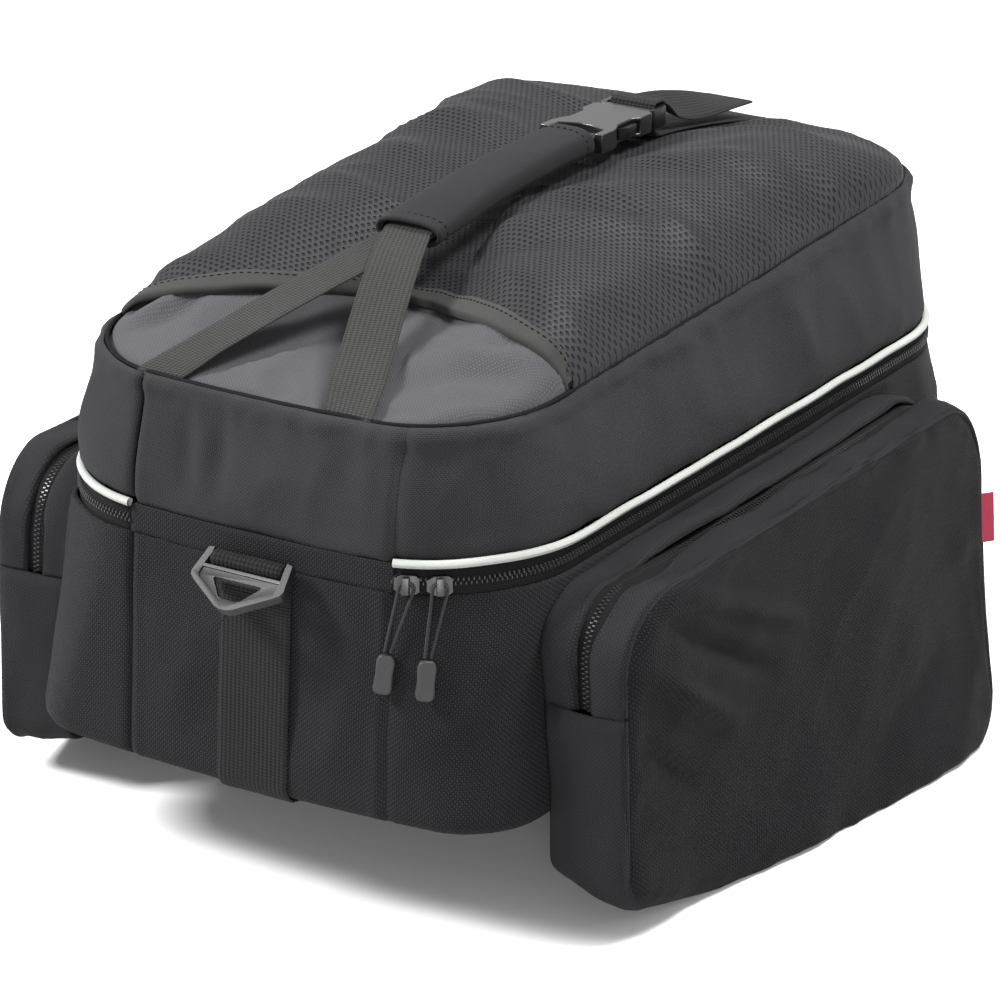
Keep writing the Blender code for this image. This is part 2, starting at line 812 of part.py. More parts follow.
def v_strap_path(tree, side, above):
    """From the lid's front seam up to the sleeve's mouth. above is its upper face over the centre."""
    x0 = STRAP_FROM_RIGHT if side > 0 else -STRAP_FROM_LEFT
    y0 = bulged(x0, -TOP_HALF_LENGTH, TOP_HALF_WIDTH, TOP_HALF_LENGTH)[1] + SEAM_REACH
    mouth = sleeve_centre(0) + Vector((0, 0, above))
    plan = Vector((mouth.x - x0, mouth.y - y0))
    across = Vector((plan.y, -plan.x, 0)).normalized()
    path = []
    for share in shares(14):
        centre = Vector((mix(x0, mouth.x, share), mix(y0, mouth.y, share), 0))
        turn = share**3 + max(0, 1 - 6 * share)
        direction = across.lerp(Vector((1, 0, 0)), turn).normalized()
        edges = [centre + direction * (STRAP_WIDTH / 2 * k) for k in (-1, -0.5, 0, 0.5, 1)]
        laid = max(clear_height(tree, p.x, max(p.y, y0), SEARCH) for p in edges) + STRAP_THICK
        if share == 0:
            start = laid
        crossing = min(1, max(0, (share - 0.35) / 0.3))
        over = (above > 0) * (STRAP_THICK + CROSS_LIFT) * crossing
        taut = mix(start, mouth.z, share) + STRAP_BOW * math.sin(math.pi * share)
        centre.z = max(taut + over * min(1, 6 * (1 - share)), laid + over)
        path.append(crosswise(centre, STRAP_WIDTH / 2, direction))
    return path


def in_sleeve(above, last):
    stations = [share for share in shares(8)[1:] if share <= last]
    lift = Vector((0, 0, above))
    return [crosswise(sleeve_centre(share) + lift, STRAP_WIDTH / 2) for share in stations]


def v_straps(tree, frame, finish):
    """The left strap ends inside the sleeve; the right one runs on, round the buckle's bar."""
    lower = -GAP / 2
    upper = GAP / 2 + STRAP_THICK
    left = v_strap_path(tree, -1, lower) + in_sleeve(lower, 0.4)
    mesh = ribbon("v_strap_left", left, STRAP_THICK)
    add_object("v_strap_left", mesh, finish, frame)
    right = v_strap_path(tree, 1, upper) + in_sleeve(upper, 1)
    round_bar = FOLD + STRAP_THICK
    for turn in (90, 60, 30, 0, -30, -60, -90):
        angle = math.radians(turn)
        along = BAR_PLACE + round_bar * math.cos(angle)
        right.append(
            crosswise(buckle_point(along, round_bar * math.sin(angle)), STRAP_WIDTH / 2)
        )
    right.append(crosswise(buckle_point(-FOLD_END, -round_bar), STRAP_WIDTH / 2))
    mesh = ribbon("v_strap_right", right, STRAP_THICK)
    add_object("v_strap_right", mesh, finish, frame)


def handle_sleeve(frame, finish):
    around = SLEEVE_CELLS
    outer = []
    inner = []
    for share in shares(SLEEVE_ROWS):
        centre = sleeve_centre(share)
        half_x = (SLEEVE_WIDTH - SLEEVE_TAPER * share) / 2
        half_z = (SLEEVE_HEIGHT + SLEEVE_SWELL * share) / 2
        rows = []
        for inset in (0, SLEEVE_WALL):
            row = []
            for k in range(around):
                turn = 2 * math.pi * k / around
                c, s = math.cos(turn), math.sin(turn)
                x = math.copysign(abs(c) ** SLEEVE_SQUARE_X, c) * (half_x - inset)
                z = math.copysign(abs(s) ** SLEEVE_SQUARE_Z, s) * (half_z - inset)
                row.append(centre + Vector((x, 0, z)))
            rows.append(row)
        outer.append(rows[0])
        inner.append(rows[1])
    mesh = cloth("handle_sleeve", outer, inner)
    return add_object("handle_sleeve", mesh, finish, frame)


# Buckle, in its own frame: Y along the straps towards the back, Z up from its middle plane

BAR_PLACE = 0.0035
BAR = 0.0028
EAR = 0.0105
WINDOW_START = 0.0180
WINDOW_END = 0.0375
BUCKLE_HALF = BUCKLE_WIDTH / 2
STRAP_SLOT = STRAP_WIDTH / 2 + 0.0007
EAR_OUT = 0.001
EAR_ROUND = 0.002
WAIST = 0.003
WAIST_START = 0.003
WAIST_END = 0.004
CORNER = 0.002
THROAT = 0.006
CAVITY_HALF = BUCKLE_HALF - PLATE * 1.6
CAVITY_UP = BUCKLE_HEIGHT / 2 - PLATE
PRONG_OUT = CAVITY_HALF - PRONG_CLEARANCE
PRONG_IN = PRONG_OUT - 0.0034
PRONG_TIP = 0.0015
PRONG_SIDE = 0.0007
PRONG_PLAY = 0.0008
GUIDE_HALF = 0.0015
MALE_INSET = 0.0008
PRONG_UP = CAVITY_UP - PRONG_CLEARANCE
SLOT_START = 0.0030
SLOT_END = 0.0078


def in_buckle_frame(made):
    made.location = buckle_point(0, 0)
    made.rotation_euler = (BUCKLE_TILT, 0, 0)
    return made


def buckle_female(frame, finish):
    half = BUCKLE_HALF
    outline = mirrored(
        [
            (0.2 * half, EAR + EAR_ROUND),
            (STRAP_SLOT, EAR - EAR_ROUND),
            (STRAP_SLOT, 0),
            (half + EAR_OUT, 0),
            (half + EAR_OUT, EAR),
            (half, EAR + WAIST_END),
            (half - WAIST, WINDOW_START + WAIST_START),
            (half - WAIST, WINDOW_END - WAIST_END),
            (half, WINDOW_END),
            (half, FEMALE_LENGTH - CORNER),
            (half - CORNER, FEMALE_LENGTH),
        ]
    )
    top = BUCKLE_HEIGHT / 2
    made = add_object("buckle_female", flat_plate(outline, -top, top), finish, frame)
    cavity = block(
        (-CAVITY_HALF, EAR + THROAT, -CAVITY_UP), (CAVITY_HALF, 2 * FEMALE_LENGTH, CAVITY_UP)
    )
    wide = BUCKLE_WIDTH
    windows = block((-wide, WINDOW_START, -CAVITY_UP), (wide, WINDOW_END, CAVITY_UP))
    low = BAR_PLACE - BAR / 2
    bar = block((-half, low, -BAR / 2), (half, low + BAR, BAR / 2))
    steps = [("DIFFERENCE", cavity), ("DIFFERENCE", windows), ("UNION", bar)]
    cut_and_join(made, steps)
    return in_buckle_frame(made)


def buckle_male(frame, finish):
    start = FEMALE_LENGTH + GAP
    end = start + MALE_LENGTH
    half = BUCKLE_HALF - MALE_INSET
    base = mirrored(
        [
            (PRONG_OUT, start),
            (half, start + CORNER),
            (half, end - 1.5 * CORNER),
            (half - 1.5 * CORNER, end),
        ]
    )
    top = MALE_HEIGHT / 2
    made = add_object("buckle_male", flat_plate(base, -top, top), finish, frame)
    slot = block(
        (-STRAP_SLOT, start + SLOT_START, -MALE_HEIGHT), (STRAP_SLOT, start + SLOT_END, MALE_HEIGHT)
    )
    steps = [("DIFFERENCE", slot)]
    tip = WINDOW_START + PRONG_TIP
    for side in (1, -1):
        prong = [
            (PRONG_IN, start + CORNER),
            (PRONG_OUT, start + CORNER),
            (PRONG_OUT, WINDOW_END - PRONG_PLAY),
            (BUCKLE_HALF, WINDOW_END - WAIST_END),
            (BUCKLE_HALF + PRONG_SIDE, tip + 3 * CORNER),
            (PRONG_OUT + PRONG_TIP, tip + 0.25 * CORNER),
            (PRONG_IN + PRONG_SIDE, tip),
            (PRONG_IN, tip + 2 * CORNER),
        ]
        outline = [(side * x, y) for x, y in prong]
        steps.append(("UNION", flat_plate(outline, -PRONG_UP, PRONG_UP)))
    inner_end = EAR + 2 * THROAT
    guide = block((-GUIDE_HALF, inner_end, -PRONG_UP), (GUIDE_HALF, start + CORNER, PRONG_UP))
    steps.append(("UNION", guide))
    cut_and_join(made, steps)
    return in_buckle_frame(made)


def rear_strap(tree, frame, finish):
    """Sewn to the back seam, under the buckle, up through its slot and back over as a free tail."""
    y0 = bulged(0, TOP_HALF_LENGTH, TOP_HALF_WIDTH, TOP_HALF_LENGTH)[1] - SEAM_REACH
    slot_back = FEMALE_LENGTH + GAP + SLOT_END
    top = MALE_HEIGHT / 2
    half = STRAP_WIDTH / 2
    turn_y = buckle_point(slot_back, 0).y + SEAM_REACH
    path = []
    for share in shares(9):
        y = mix(y0, turn_y, share)
        edges = [k * half for k in (-1, -0.5, 0, 0.5, 1)]
        z = max(clear_height(tree, x, min(y, y0), SEARCH) for x in edges) + STRAP_THICK
        path.append(crosswise(Vector((0, y, z)), -half))
    near = slot_back - 0.4 * TURN
    rear = FEMALE_LENGTH + GAP + MALE_LENGTH
    turns = [
        (near, -top),
        (near, top - TURN),
        (near + 0.5 * TURN, top + 0.6 * TURN),
        (near + 2 * TURN, top + TURN),
        (rear + 0.4 * TURN, top + 0.8 * TURN),
        (rear + 1.8 * TURN, top - 0.8 * TURN),
        (rear + 6 * TURN, 0.4 * top),
    ]
    path += [crosswise(buckle_point(along, up), -half) for along, up in turns]
    end_y = TAIL_REACH * TOP_HALF_LENGTH
    end = Vector((0, end_y, seam_height(end_y) + TAIL_LIFT))
    start = (path[-1][0] + path[-1][1]) / 2
    for share in (0.35, 0.7, 1):
        sag = Vector((0, 0, TAIL_SAG * math.sin(math.pi * share)))
        path.append(crosswise(start.lerp(end, share) - sag, -half))
    mesh = ribbon("rear_strap", path, STRAP_THICK)
    return add_object("rear_strap", mesh, finish, frame)


# Front strap and ring

RING_LOOP = RING_BAR / 2 + 0.0005
LOOP_RISE = 0.006
LOOP_TAIL = (0.0075, 0.0110, 0.0160)
RING_STANDOFF = LAY_GAP + 2 * GAP + 2 * FRONT_STRAP_THICK + RING_THICK / 2


def front_wall(x, z):
    """Y of the lower body's front at a place."""
    half_x, half_y, _ = body_size(z)
    return bulged(x, -half_y, half_x, half_y)[1]


def front_strap_edge(x):
    """One edge of the front strap's outer face, from under the base to its folded end."""
    lift = LAY_GAP + FRONT_STRAP_THICK
    points = []
    under = front_wall(x, BASE_EDGE) + FRONT_STRAP_UNDER
    points.append(Vector((x, under, -lift)))
    centre = Vector((x, front_wall(x, BASE_EDGE) + BASE_EDGE, BASE_EDGE))
    for share in shares(5):
        turn = math.radians(-90 - 90 * share)
        out = Vector((0, math.cos(turn), math.sin(turn))) * (BASE_EDGE + lift)
        points.append(centre + out)
    axis = ring_axis(x)
    for share in (0.4, 0.7, 0.88):
        z = mix(BASE_EDGE, RING_HEIGHT, share)
        points.append(Vector((x, front_wall(x, z) - lift, z)))
    z = axis.z - LOOP_RISE
    points.append(Vector((x, front_wall(x, z) - lift, z)))
    for degrees in (0, 35, 70, 105, 140, 180, 215, 250):
        turn = math.radians(degrees)
        points.append(axis + Vector((0, math.cos(turn), math.sin(turn))) * RING_LOOP)
    for down in LOOP_TAIL:
        z = axis.z - down
        points.append(Vector((x, front_wall(x, z) - lift - GAP, z)))
    return points


def ring_axis(x):
    """Where the ring's bar is: along X, in front of the strap."""
    y = front_wall(FRONT_STRAP_SIDE, RING_HEIGHT) - RING_STANDOFF
    return Vector((x, y, RING_HEIGHT))


def ring_strap(frame, finish):
    half = FRONT_STRAP_WIDTH / 2
    left = front_strap_edge(FRONT_STRAP_SIDE - half)
    right = front_strap_edge(FRONT_STRAP_SIDE + half)
    mesh = ribbon("ring_strap", list(zip(left, right)), FRONT_STRAP_THICK)
    return add_object("ring_strap", mesh, finish, frame)


# Shares of the ring's half width and of its drop below the bar
RING_OUTLINE = (
    (0.80, -0.15),
    (0.91, -0.12),
    (1.00, 0.40),
    (0.97, 0.48),
    (0.87, 0.56),
    (0.20, 0.96),
    (0.08, 1.00),
)
RING_HOLE = ((0.50, 0.40), (0.52, 0.44), (0.24, 0.76), (0.15, 0.79))
RING_RECESS = ((0.83, 0.27), (0.84, 0.42), (0.79, 0.48), (0.23, 0.81), (0.18, 0.84))
RING_PANEL_TOP = 0.21
RING_SPREAD = 0.001
RING_BAR_SUNK = 0.002


def ring(frame, finish):
    half = RING_WIDTH / 2

    def plate(rows, thickness):
        right = [(half * wide, -RING_DROP * down) for wide, down in rows]
        return prism(right + [(-x, z) for x, z in reversed(right)], thickness)

    inside = FRONT_STRAP_WIDTH / 2 + STRAP_PLAY
    opening = prism(
        [
            (-inside, RING_DROP),
            (inside, RING_DROP),
            (inside, 0),
            (inside + RING_SPREAD, -RING_PANEL_TOP * RING_DROP),
            (-inside - RING_SPREAD, -RING_PANEL_TOP * RING_DROP),
            (-inside, 0),
        ],
        RING_DROP,
    )
    made = add_object("ring", plate(RING_OUTLINE, RING_THICK), finish, frame)
    bar = bmesh.new()
    bmesh.ops.create_cone(
        bar,
        cap_ends=True,
        segments=12,
        radius1=RING_BAR / 2,
        radius2=RING_BAR / 2,
        depth=2 * (inside + RING_BAR_SUNK),
        matrix=Matrix.Rotation(math.pi / 2, 4, "Y"),
    )
    bar_mesh = bpy.data.meshes.new("ring_bar")
    bar.to_mesh(bar_mesh)
    bar.free()
    steps = [("DIFFERENCE", opening), ("DIFFERENCE", plate(RING_HOLE, RING_DROP)), ("UNION", bar_mesh)]
    for side in (-1, 1):
        recess = plate(RING_RECESS, RING_THICK - RING_PANEL)
        recess.transform(Matrix.Translation((0, side * RING_THICK / 2, 0)))
        steps.append(("DIFFERENCE", recess))
    cut_and_join(made, steps)
    made.location = ring_axis(FRONT_STRAP_SIDE)
    made.rotation_euler = (-RING_TILT, 0, 0)
    return made


# Zip sliders and their pulls

# Distance of each slider from the front right seam, and how its pull hangs: sideways reach of the
# tab's top and of its foot, and how far down its top is.
PULLS = {
    "left": {"place": 0.0065, "top": -0.0084, "foot": -0.0108, "drop": 0.0318},
    "right": {"place": 0.0205, "top": -0.0060, "foot": -0.0078, "drop": 0.0325},
}


# Shares of a slider's length from its middle, and of its half width
SLIDER_OUTLINE = ((-0.5, 0.55), (-0.2, 1.0), (0.35, 1.0), (0.5, 0.7))
BRIDGE_WALL = 0.0012
BRIDGE_FLOOR = 0.0002


def zip_place(distance, height):
    """A place on the main zip, with its direction and its outward direction."""
    ring_points = body_ring(height)
    for column in ZIP_COLUMNS:
        here, after = ring_points[column], ring_points[column + 1]
        step = (after - here).length
        if distance <= step:
            along = (after - here).normalized()
            return here.lerp(after, distance / step), along, along.cross(Vector((0, 0, 1)))
        distance -= step


def zip_frame(place):
    """The middle of the zip at a place, with its directions along, up its slope and outwards."""
    middle = TAPE_TOP - SLIDER_DROP
    point, along, _ = zip_place(place, middle)
    rise = zip_place(place, TAPE_TOP)[0] - point
    up = (rise - along * rise.dot(along)).normalized()
    return point, along, up, along.cross(up)


def slider(name, place, frame, finish):
    point, along, up, out = zip_frame(place)
    half = SLIDER_WIDTH / 2
    lift = GAP - TAPE_RECESS
    near_side = [(SLIDER_LENGTH * long, -half * wide) for long, wide in SLIDER_OUTLINE]
    body = near_side + [(x, -y) for x, y in reversed(near_side)]
    made = add_object(name, flat_plate(body, lift, lift + SLIDER_THICK), finish, frame)
    top = lift + SLIDER_THICK + BRIDGE_HEIGHT
    wide = BRIDGE_WIDTH / 2
    bridge = block((-wide, -half * 0.9, lift + 0.5 * SLIDER_THICK), (wide, half * 0.9, top))
    floor = lift + SLIDER_THICK + BRIDGE_FLOOR
    room = half * 0.6
    hole = block((-SLIDER_WIDTH, -room, floor), (SLIDER_WIDTH, room, top - BRIDGE_WALL))
    cut_and_join(made, [("UNION", bridge), ("DIFFERENCE", hole)])
    made.location = point
    made.rotation_euler = Matrix((along, up, out)).transposed().to_euler()
    return made


def tab_face(tree, place, drop, sideways):
    """A place in front of the body below a slider, where the back of a tab's middle can be."""
    top, along, out = zip_place(place, TAPE_TOP - SLIDER_DROP)
    far = []
    for side in (-1, 0, 1):
        point = top + along * (sideways + side * TAB_WIDTH / 2) - Vector((0, 0, drop))
        reached = tree.ray_cast(point + out * HALF_WIDTH, -out)[0]
        far.append((reached - point).dot(out))
    return top + along * sideways - Vector((0, 0, drop)) + out * max(far)


def tab_frame(tree, pull):
    """Where a pull tab's middle is, and the directions of its width, length and thickness."""
    out = zip_place(pull["place"], TAPE_TOP)[2]
    stand = out * (TAB_THICK / 2 + TAB_STAND)
    top = tab_face(tree, pull["place"], pull["drop"], pull["top"]) + stand
    foot = tab_face(tree, pull["place"], pull["drop"] + TAB_LENGTH, pull["foot"]) + stand
    length = (top - foot).normalized()
    wide = length.cross(out).normalized()
    return (top + foot) / 2, wide, length, wide.cross(length)


def pull_tab(tree, name, pull, frame, finish):
    middle, wide, length, out = tab_frame(tree, pull)
    half = TAB_WIDTH / 2
    reach = TAB_LENGTH / 2
    outline = mirrored(
        [
            (0.55 * half, -reach),
            (0.9 * half, -0.89 * reach),
            (half, -0.68 * reach),
            (0.92 * half, 0),
            (half, 0.64 * reach),
            (0.85 * half, 0.89 * reach),
            (0.5 * half, reach),
        ]
    )
    mesh = flat_plate(outline, -TAB_THICK / 2, TAB_THICK / 2)
    made = add_object(name, mesh, finish, frame)
    made.location = middle
    made.rotation_euler = Matrix((wide, length, out)).transposed().to_euler()
    return made


def pull_cord(tree, name, pull, frame, finish):
    """A loop of cord: up from the tab, through the slider's bridge and down again."""
    centre, along, up, out = zip_frame(pull["place"])
    lift = GAP - TAPE_RECESS + SLIDER_THICK + (BRIDGE_HEIGHT - BRIDGE_WALL) / 2
    middle, wide, length, _ = tab_frame(tree, pull)
    tab_top = middle + length * (TAB_LENGTH / 2 + GAP + CORD / 2)
    bow = centre + out * lift + up * (CORD_HIGH - CORD_BEND)
    legs = []
    for side in (-1, 1):
        leg_top = bow + along * (side * CORD_BEND)
        leg_foot = tab_top + wide * (side * CORD_SPREAD)
        rise = (leg_top - leg_foot).normalized() * CORD_STRAIGHT
        legs.append([leg_foot, leg_foot + rise, leg_top - rise, leg_top])
    turns = [math.radians(180 - 30 * k) for k in range(1, 6)]
    crest = [bow + (along * math.cos(t) + up * math.sin(t)) * CORD_BEND for t in turns]
    knots = legs[0] + crest + legs[1][::-1]
    curve = bpy.data.curves.new(name, "CURVE")
    curve.dimensions = "3D"
    curve.bevel_depth = CORD / 2
    curve.bevel_resolution = 2
    curve.use_fill_caps = True
    points = smooth_route(knots)
    spline = curve.splines.new("POLY")
    spline.points.add(len(points) - 1)
    for target, point in zip(spline.points, points):
        target.co = (*point, 1)
    curve.materials.append(finish)
    made = bpy.data.objects.new(name, curve)
    bpy.context.collection.objects.link(made)
    made.parent = frame
    return made


def smooth_route(knots):
    """Points on a smooth curve through the route's own points, a few diameters apart."""
    points = []
    ends = [knots[0] * 2 - knots[1]] + knots + [knots[-1] * 2 - knots[-2]]
    for a, b, c, d in zip(ends, ends[1:], ends[2:], ends[3:]):
        steps = max(1, round((c - b).length / (CORD * 2.5)))
        for share in shares(steps)[:-1]:
            cubic = (b * 1.5 - a * 0.5 - c * 1.5 + d * 0.5) * share**3
            pull = a - b * 2.5 + c * 2 - d * 0.5
            points.append(b + (c - a) * (share / 2) + pull * share**2 + cubic)
    points.append(knots[-1])
    return points


def make_bag():
    frame = start_scene()
    nylon = material("black_nylon", CLOTH_BLACK, 0.75)
    grey = material("grey_cloth", CLOTH_GREY, 0.85)
    olive = material("olive_webbing", WEB_OLIVE, 0.85)
    webbing = material("dark_webbing", CLOTH_GREY, 0.8)
    plastic = material("grey_plastic", PLASTIC_GREY, 0.45)
    black_plastic = material("black_plastic", CLOTH_GREY, 0.4)
    rubber = material("grey_rubber", PLASTIC_GREY, 0.65)
    cord = material("grey_cord", PLASTIC_GREY, 0.8)
    reflective = material("reflective_piping", (0.72, 0.73, 0.74), 0.4)
    tape = material("zip_tape", CLOTH_BLACK, 0.8)
    crimson = material("crimson_tab", (0.42, 0.01, 0.03), 0.7)

    tub = lower_tub(frame, nylon)
    lid = lid_shell(frame, grey)
    zip_strip(
        "zip_tape_main", TUB_RIM + GAP, TAPE_TOP, -TAPE_RECESS, TAPE_THICK, frame, tape
    )
    half = PIPING / 2
    zip_strip(
        "piping_main",
        ZIP_HEIGHT - half,
        ZIP_HEIGHT + half,
        PIPING_STANDS,
        PIPING_STANDS + WALL,
        frame,
        reflective,
    )
    for side, word in ((1, "right"), (-1, "left")):
        side_pocket(side, "pocket_" + word, frame, nylon)
        pocket_zip(side, "pocket_zip_" + word, frame, tape)
    label(frame, crimson)
    mesh_panel(frame, nylon)
    tree = ground(lid)
    mesh_binding(tree, frame, grey)
    v_straps(tree, frame, olive)
    handle_sleeve(frame, nylon)
    buckle_female(frame, black_plastic)
    buckle_male(frame, black_plastic)
    rear_strap(tree, frame, webbing)
    ring_strap(frame, webbing)
    ring(frame, plastic)
    front = ground(tub)
    for side, pull in PULLS.items():
        slider("slider_" + side, pull["place"], frame, black_plastic)
        pull_cord(front, "pull_cord_" + side, pull, frame, cord)
        pull_tab(front, "pull_tab_" + side, pull, frame, rubber)
    stand_on_pockets(frame)


def stand_on_pockets(frame):
    """Moves the whole bag so that the middle of its bounding box's bottom is the origin."""
    bpy.context.view_layer.update()
    graph = bpy.context.evaluated_depsgraph_get()
    corners = []
    for made in frame.children:
        if made.type in ("MESH", "CURVE") and not made.hide_render:
            shape = made.evaluated_get(graph)
            mesh = shape.to_mesh()
            corners += [made.matrix_world @ vertex.co for vertex in mesh.vertices]
            shape.to_mesh_clear()
    low = Vector([min(point[k] for point in corners) for k in range(3)])
    high = Vector([max(point[k] for point in corners) for k in range(3)])
    frame.location = (-(low.x + high.x) / 2, -(low.y + high.y) / 2, -low.z)


make_bag()
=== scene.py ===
import math

import bmesh
import bpy
import numpy as np
from mathutils import Matrix, Vector, noise


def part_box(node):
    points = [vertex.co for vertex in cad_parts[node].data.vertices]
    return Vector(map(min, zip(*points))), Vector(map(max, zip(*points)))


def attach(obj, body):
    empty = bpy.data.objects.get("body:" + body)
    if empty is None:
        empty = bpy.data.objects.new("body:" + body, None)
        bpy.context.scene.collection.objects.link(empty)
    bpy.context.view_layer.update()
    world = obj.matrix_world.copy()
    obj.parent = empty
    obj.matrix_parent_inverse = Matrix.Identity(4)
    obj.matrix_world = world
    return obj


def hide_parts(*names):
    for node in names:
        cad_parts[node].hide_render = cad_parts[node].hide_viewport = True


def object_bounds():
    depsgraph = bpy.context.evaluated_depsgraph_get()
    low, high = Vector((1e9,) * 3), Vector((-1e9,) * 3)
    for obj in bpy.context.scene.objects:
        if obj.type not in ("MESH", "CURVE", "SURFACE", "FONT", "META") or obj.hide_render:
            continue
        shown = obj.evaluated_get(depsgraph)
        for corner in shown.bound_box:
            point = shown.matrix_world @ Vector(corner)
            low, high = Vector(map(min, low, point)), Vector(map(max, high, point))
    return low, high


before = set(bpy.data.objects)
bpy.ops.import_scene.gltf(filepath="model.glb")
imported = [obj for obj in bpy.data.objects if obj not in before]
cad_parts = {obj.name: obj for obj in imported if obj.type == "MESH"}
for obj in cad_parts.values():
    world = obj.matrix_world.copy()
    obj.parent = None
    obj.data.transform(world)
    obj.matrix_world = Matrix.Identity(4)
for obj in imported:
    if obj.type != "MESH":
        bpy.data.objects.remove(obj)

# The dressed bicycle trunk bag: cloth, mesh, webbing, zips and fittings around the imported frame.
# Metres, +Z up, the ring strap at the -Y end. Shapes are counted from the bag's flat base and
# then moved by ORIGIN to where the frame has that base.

CAD_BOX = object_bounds()

# Sizes that follow the solids
BODY_WIDTH = 0.253
BODY_LENGTH = 0.4434
ZIP_HEIGHT = 0.1235
BASE_FLARE = 0.0083
BASE_EDGE = 0.008
BASE_CORNER = 0.036
FRONT_SEAM_LEFT = 0.0635
FRONT_SEAM_RIGHT = 0.0765
BACK_SEAM = 0.070
ZIP_CORNER = 0.063
END_BULGE = 0.009
SIDE_BULGE = 0.002
SEAM_STEP = 0.0004
BULGE_POWER = 3
LID_FRONT = 0.181
LID_BACK = 0.198
LID_DRAFT = 0.0107
LID_CORNER = 0.054
LID_BELLY = 0.0025
CROWN = 0.0395
CROWN_SIDE_POWER = 7.0
CROWN_FRONT_POWER = 1.15
CROWN_BACK_POWER = 2.6
HANDLE_DIP = 0.010
HANDLE_DIP_WIDTH = 0.038
CROWN_END_SHARE = 0.6
PIPING = 0.004
TAPE_HEIGHT = 0.0115
GAP = 0.0003
POCKET_START = 0.0347
POCKET_LENGTH = 0.338
POCKET_TOP = 0.108
POCKET_DROP = 0.052
POCKET_DEPTH = 0.0485
POCKET_FRONT_TUCK = 0.004
POCKET_SWING = 0.0336
POCKET_SLANT = 0.044
POCKET_RISE = 0.018
POCKET_RISE_LENGTH = 0.097
POCKET_INNER_TOP = 0.104
POCKET_INNER_BOTTOM = 0.027
POCKET_BELLY = 0.007
POCKET_GAP = 0.0007
POCKET_LAG = 0.008
SWING_STILL = 0.88
SWING_FULL = 0.76
SWING_POWER = 1.5
TUCK_SHARE = 0.1
RISE_POWER = 1.6
POCKET_ZIP_END = 0.056
POCKET_TAPE_WIDTH = 0.0165
# Corner radii: front top, back top, back bottom, front bottom
FACE_RADII = (0.035, 0.035, 0.036, 0.014)
BACK_RADII = (0.026, 0.030, 0.030, 0.010)
BINDING_WIDTH = 0.014
BINDING_SHOWN = 0.0095
BINDING_MIDDLE = 0.0875
BINDING_ARCH = 0.022
BINDING_WAVE = 0.105
BINDING_SKEW = 0.009
MESH_LIFT = 0.0021
SLEEVE_START = 0.1247
SLEEVE_LENGTH = 0.140
SLEEVE_WIDTH = 0.0355
SLEEVE_TAPER = 0.006
SLEEVE_HEIGHT = 0.0125
SLEEVE_SWELL = 0.0035
SLEEVE_LIFT = 0.0365
SLEEVE_RISE = 0.0075
SLEEVE_BOW = 0.003
STRAP_WIDTH = 0.025
STRAP_THICK = 0.0015
STRAP_BOW = 0.002
STRAP_FROM_LEFT = 0.055
STRAP_FROM_RIGHT = 0.0465
UNDER_STRAP = 0.0023
SEAM_REACH = 0.002
CLIMB_START = 0.006
CLIMB_LENGTH = 0.004
CROSS_LIFT = 0.0014
BUCKLE_START = 0.0025
BUCKLE_TILT = math.radians(-1.5)
BAR_PLACE = 0.0035
FOLD = 0.0023
FOLD_END = 0.0012
FEMALE_LENGTH = 0.050
SLOT_END = 0.0078
MALE_LENGTH = 0.0155
MALE_HEIGHT = 0.0095
TURN = 0.001
TAIL_REACH = 0.950
TAIL_LIFT = 0.0170
TAIL_ARCH = 0.0015
TAIL_ROLL = 0.0090
FRONT_STRAP_WIDTH = 0.038
FRONT_STRAP_THICK = 0.0016
FRONT_STRAP_SIDE = 0.008
FRONT_STRAP_UNDER = 0.035
RING_HEIGHT = 0.1117
RING_BAR = 0.0036
RING_THICK = 0.0046
LAY_GAP = 0.0007
LOOP_RISE = 0.006
LOOP_TAIL = (0.0075, 0.0110, 0.0160)
LOOP_CLEAR = 0.0005
LOOP_TURNS = (*range(0, 200, 20), 200, 225, 250)

# Fineness of the dressed forms
FRONT_CELLS = 52
SIDE_CELLS = 72
CORNER_CELLS = 26
POCKET_ARC_CELLS = 12
POCKET_TOP_CELLS = 46
POCKET_BOTTOM_CELLS = 40
POCKET_SIDE_CELLS = 12

HALF_WIDTH = BODY_WIDTH / 2
HALF_LENGTH = BODY_LENGTH / 2
TOP_HALF_WIDTH = HALF_WIDTH - LID_DRAFT
TOP_HALF_LENGTH = HALF_LENGTH - LID_DRAFT
POCKET_FRONT = -HALF_LENGTH + POCKET_START
POCKET_BACK = POCKET_FRONT + POCKET_LENGTH
TAPE_TOP = ZIP_HEIGHT - PIPING / 2 - GAP
TUB_TOP = TAPE_TOP - TAPE_HEIGHT
RING_POINTS = 2 * FRONT_CELLS + 2 * SIDE_CELLS + 4 * CORNER_CELLS + 2
ZIP_START = FRONT_CELLS + 1
POCKET_ZIP_COLUMNS = 2 * POCKET_SIDE_CELLS + 2 * POCKET_ARC_CELLS + POCKET_TOP_CELLS

tub_low, tub_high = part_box("lower_tub")
ORIGIN = np.array(
    [(tub_low[0] + tub_high[0]) / 2, (tub_low[1] + tub_high[1]) / 2, tub_low[2]]
)


def mix(a, b, share):
    return a + (b - a) * share


def fade(far, width):
    """1 where far is 0, and close to 0 beyond twice the width."""
    return np.exp(-((far / width) ** 2))


def limited(value):
    return min(1, max(0, value))


def shares(cells):
    return [k / cells for k in range(cells + 1)]


# Camera, floor and light

CAMERA_PLACE = (1.1754, -1.8717, 0.9243)
CAMERA_TARGET = (-0.0559, 0.0699, 0.0277)
CAMERA_LENS = 175.77
SENSOR = 36.0
FAR_CLIP = 50.0
FLOOR_PALE = (0.46, 0.46, 0.46)
FLOOR_ROUGHNESS = 0.9
FLOOR_REACH = 8.0
FLOOR_DROP = 0.0005
SKY = 1.0

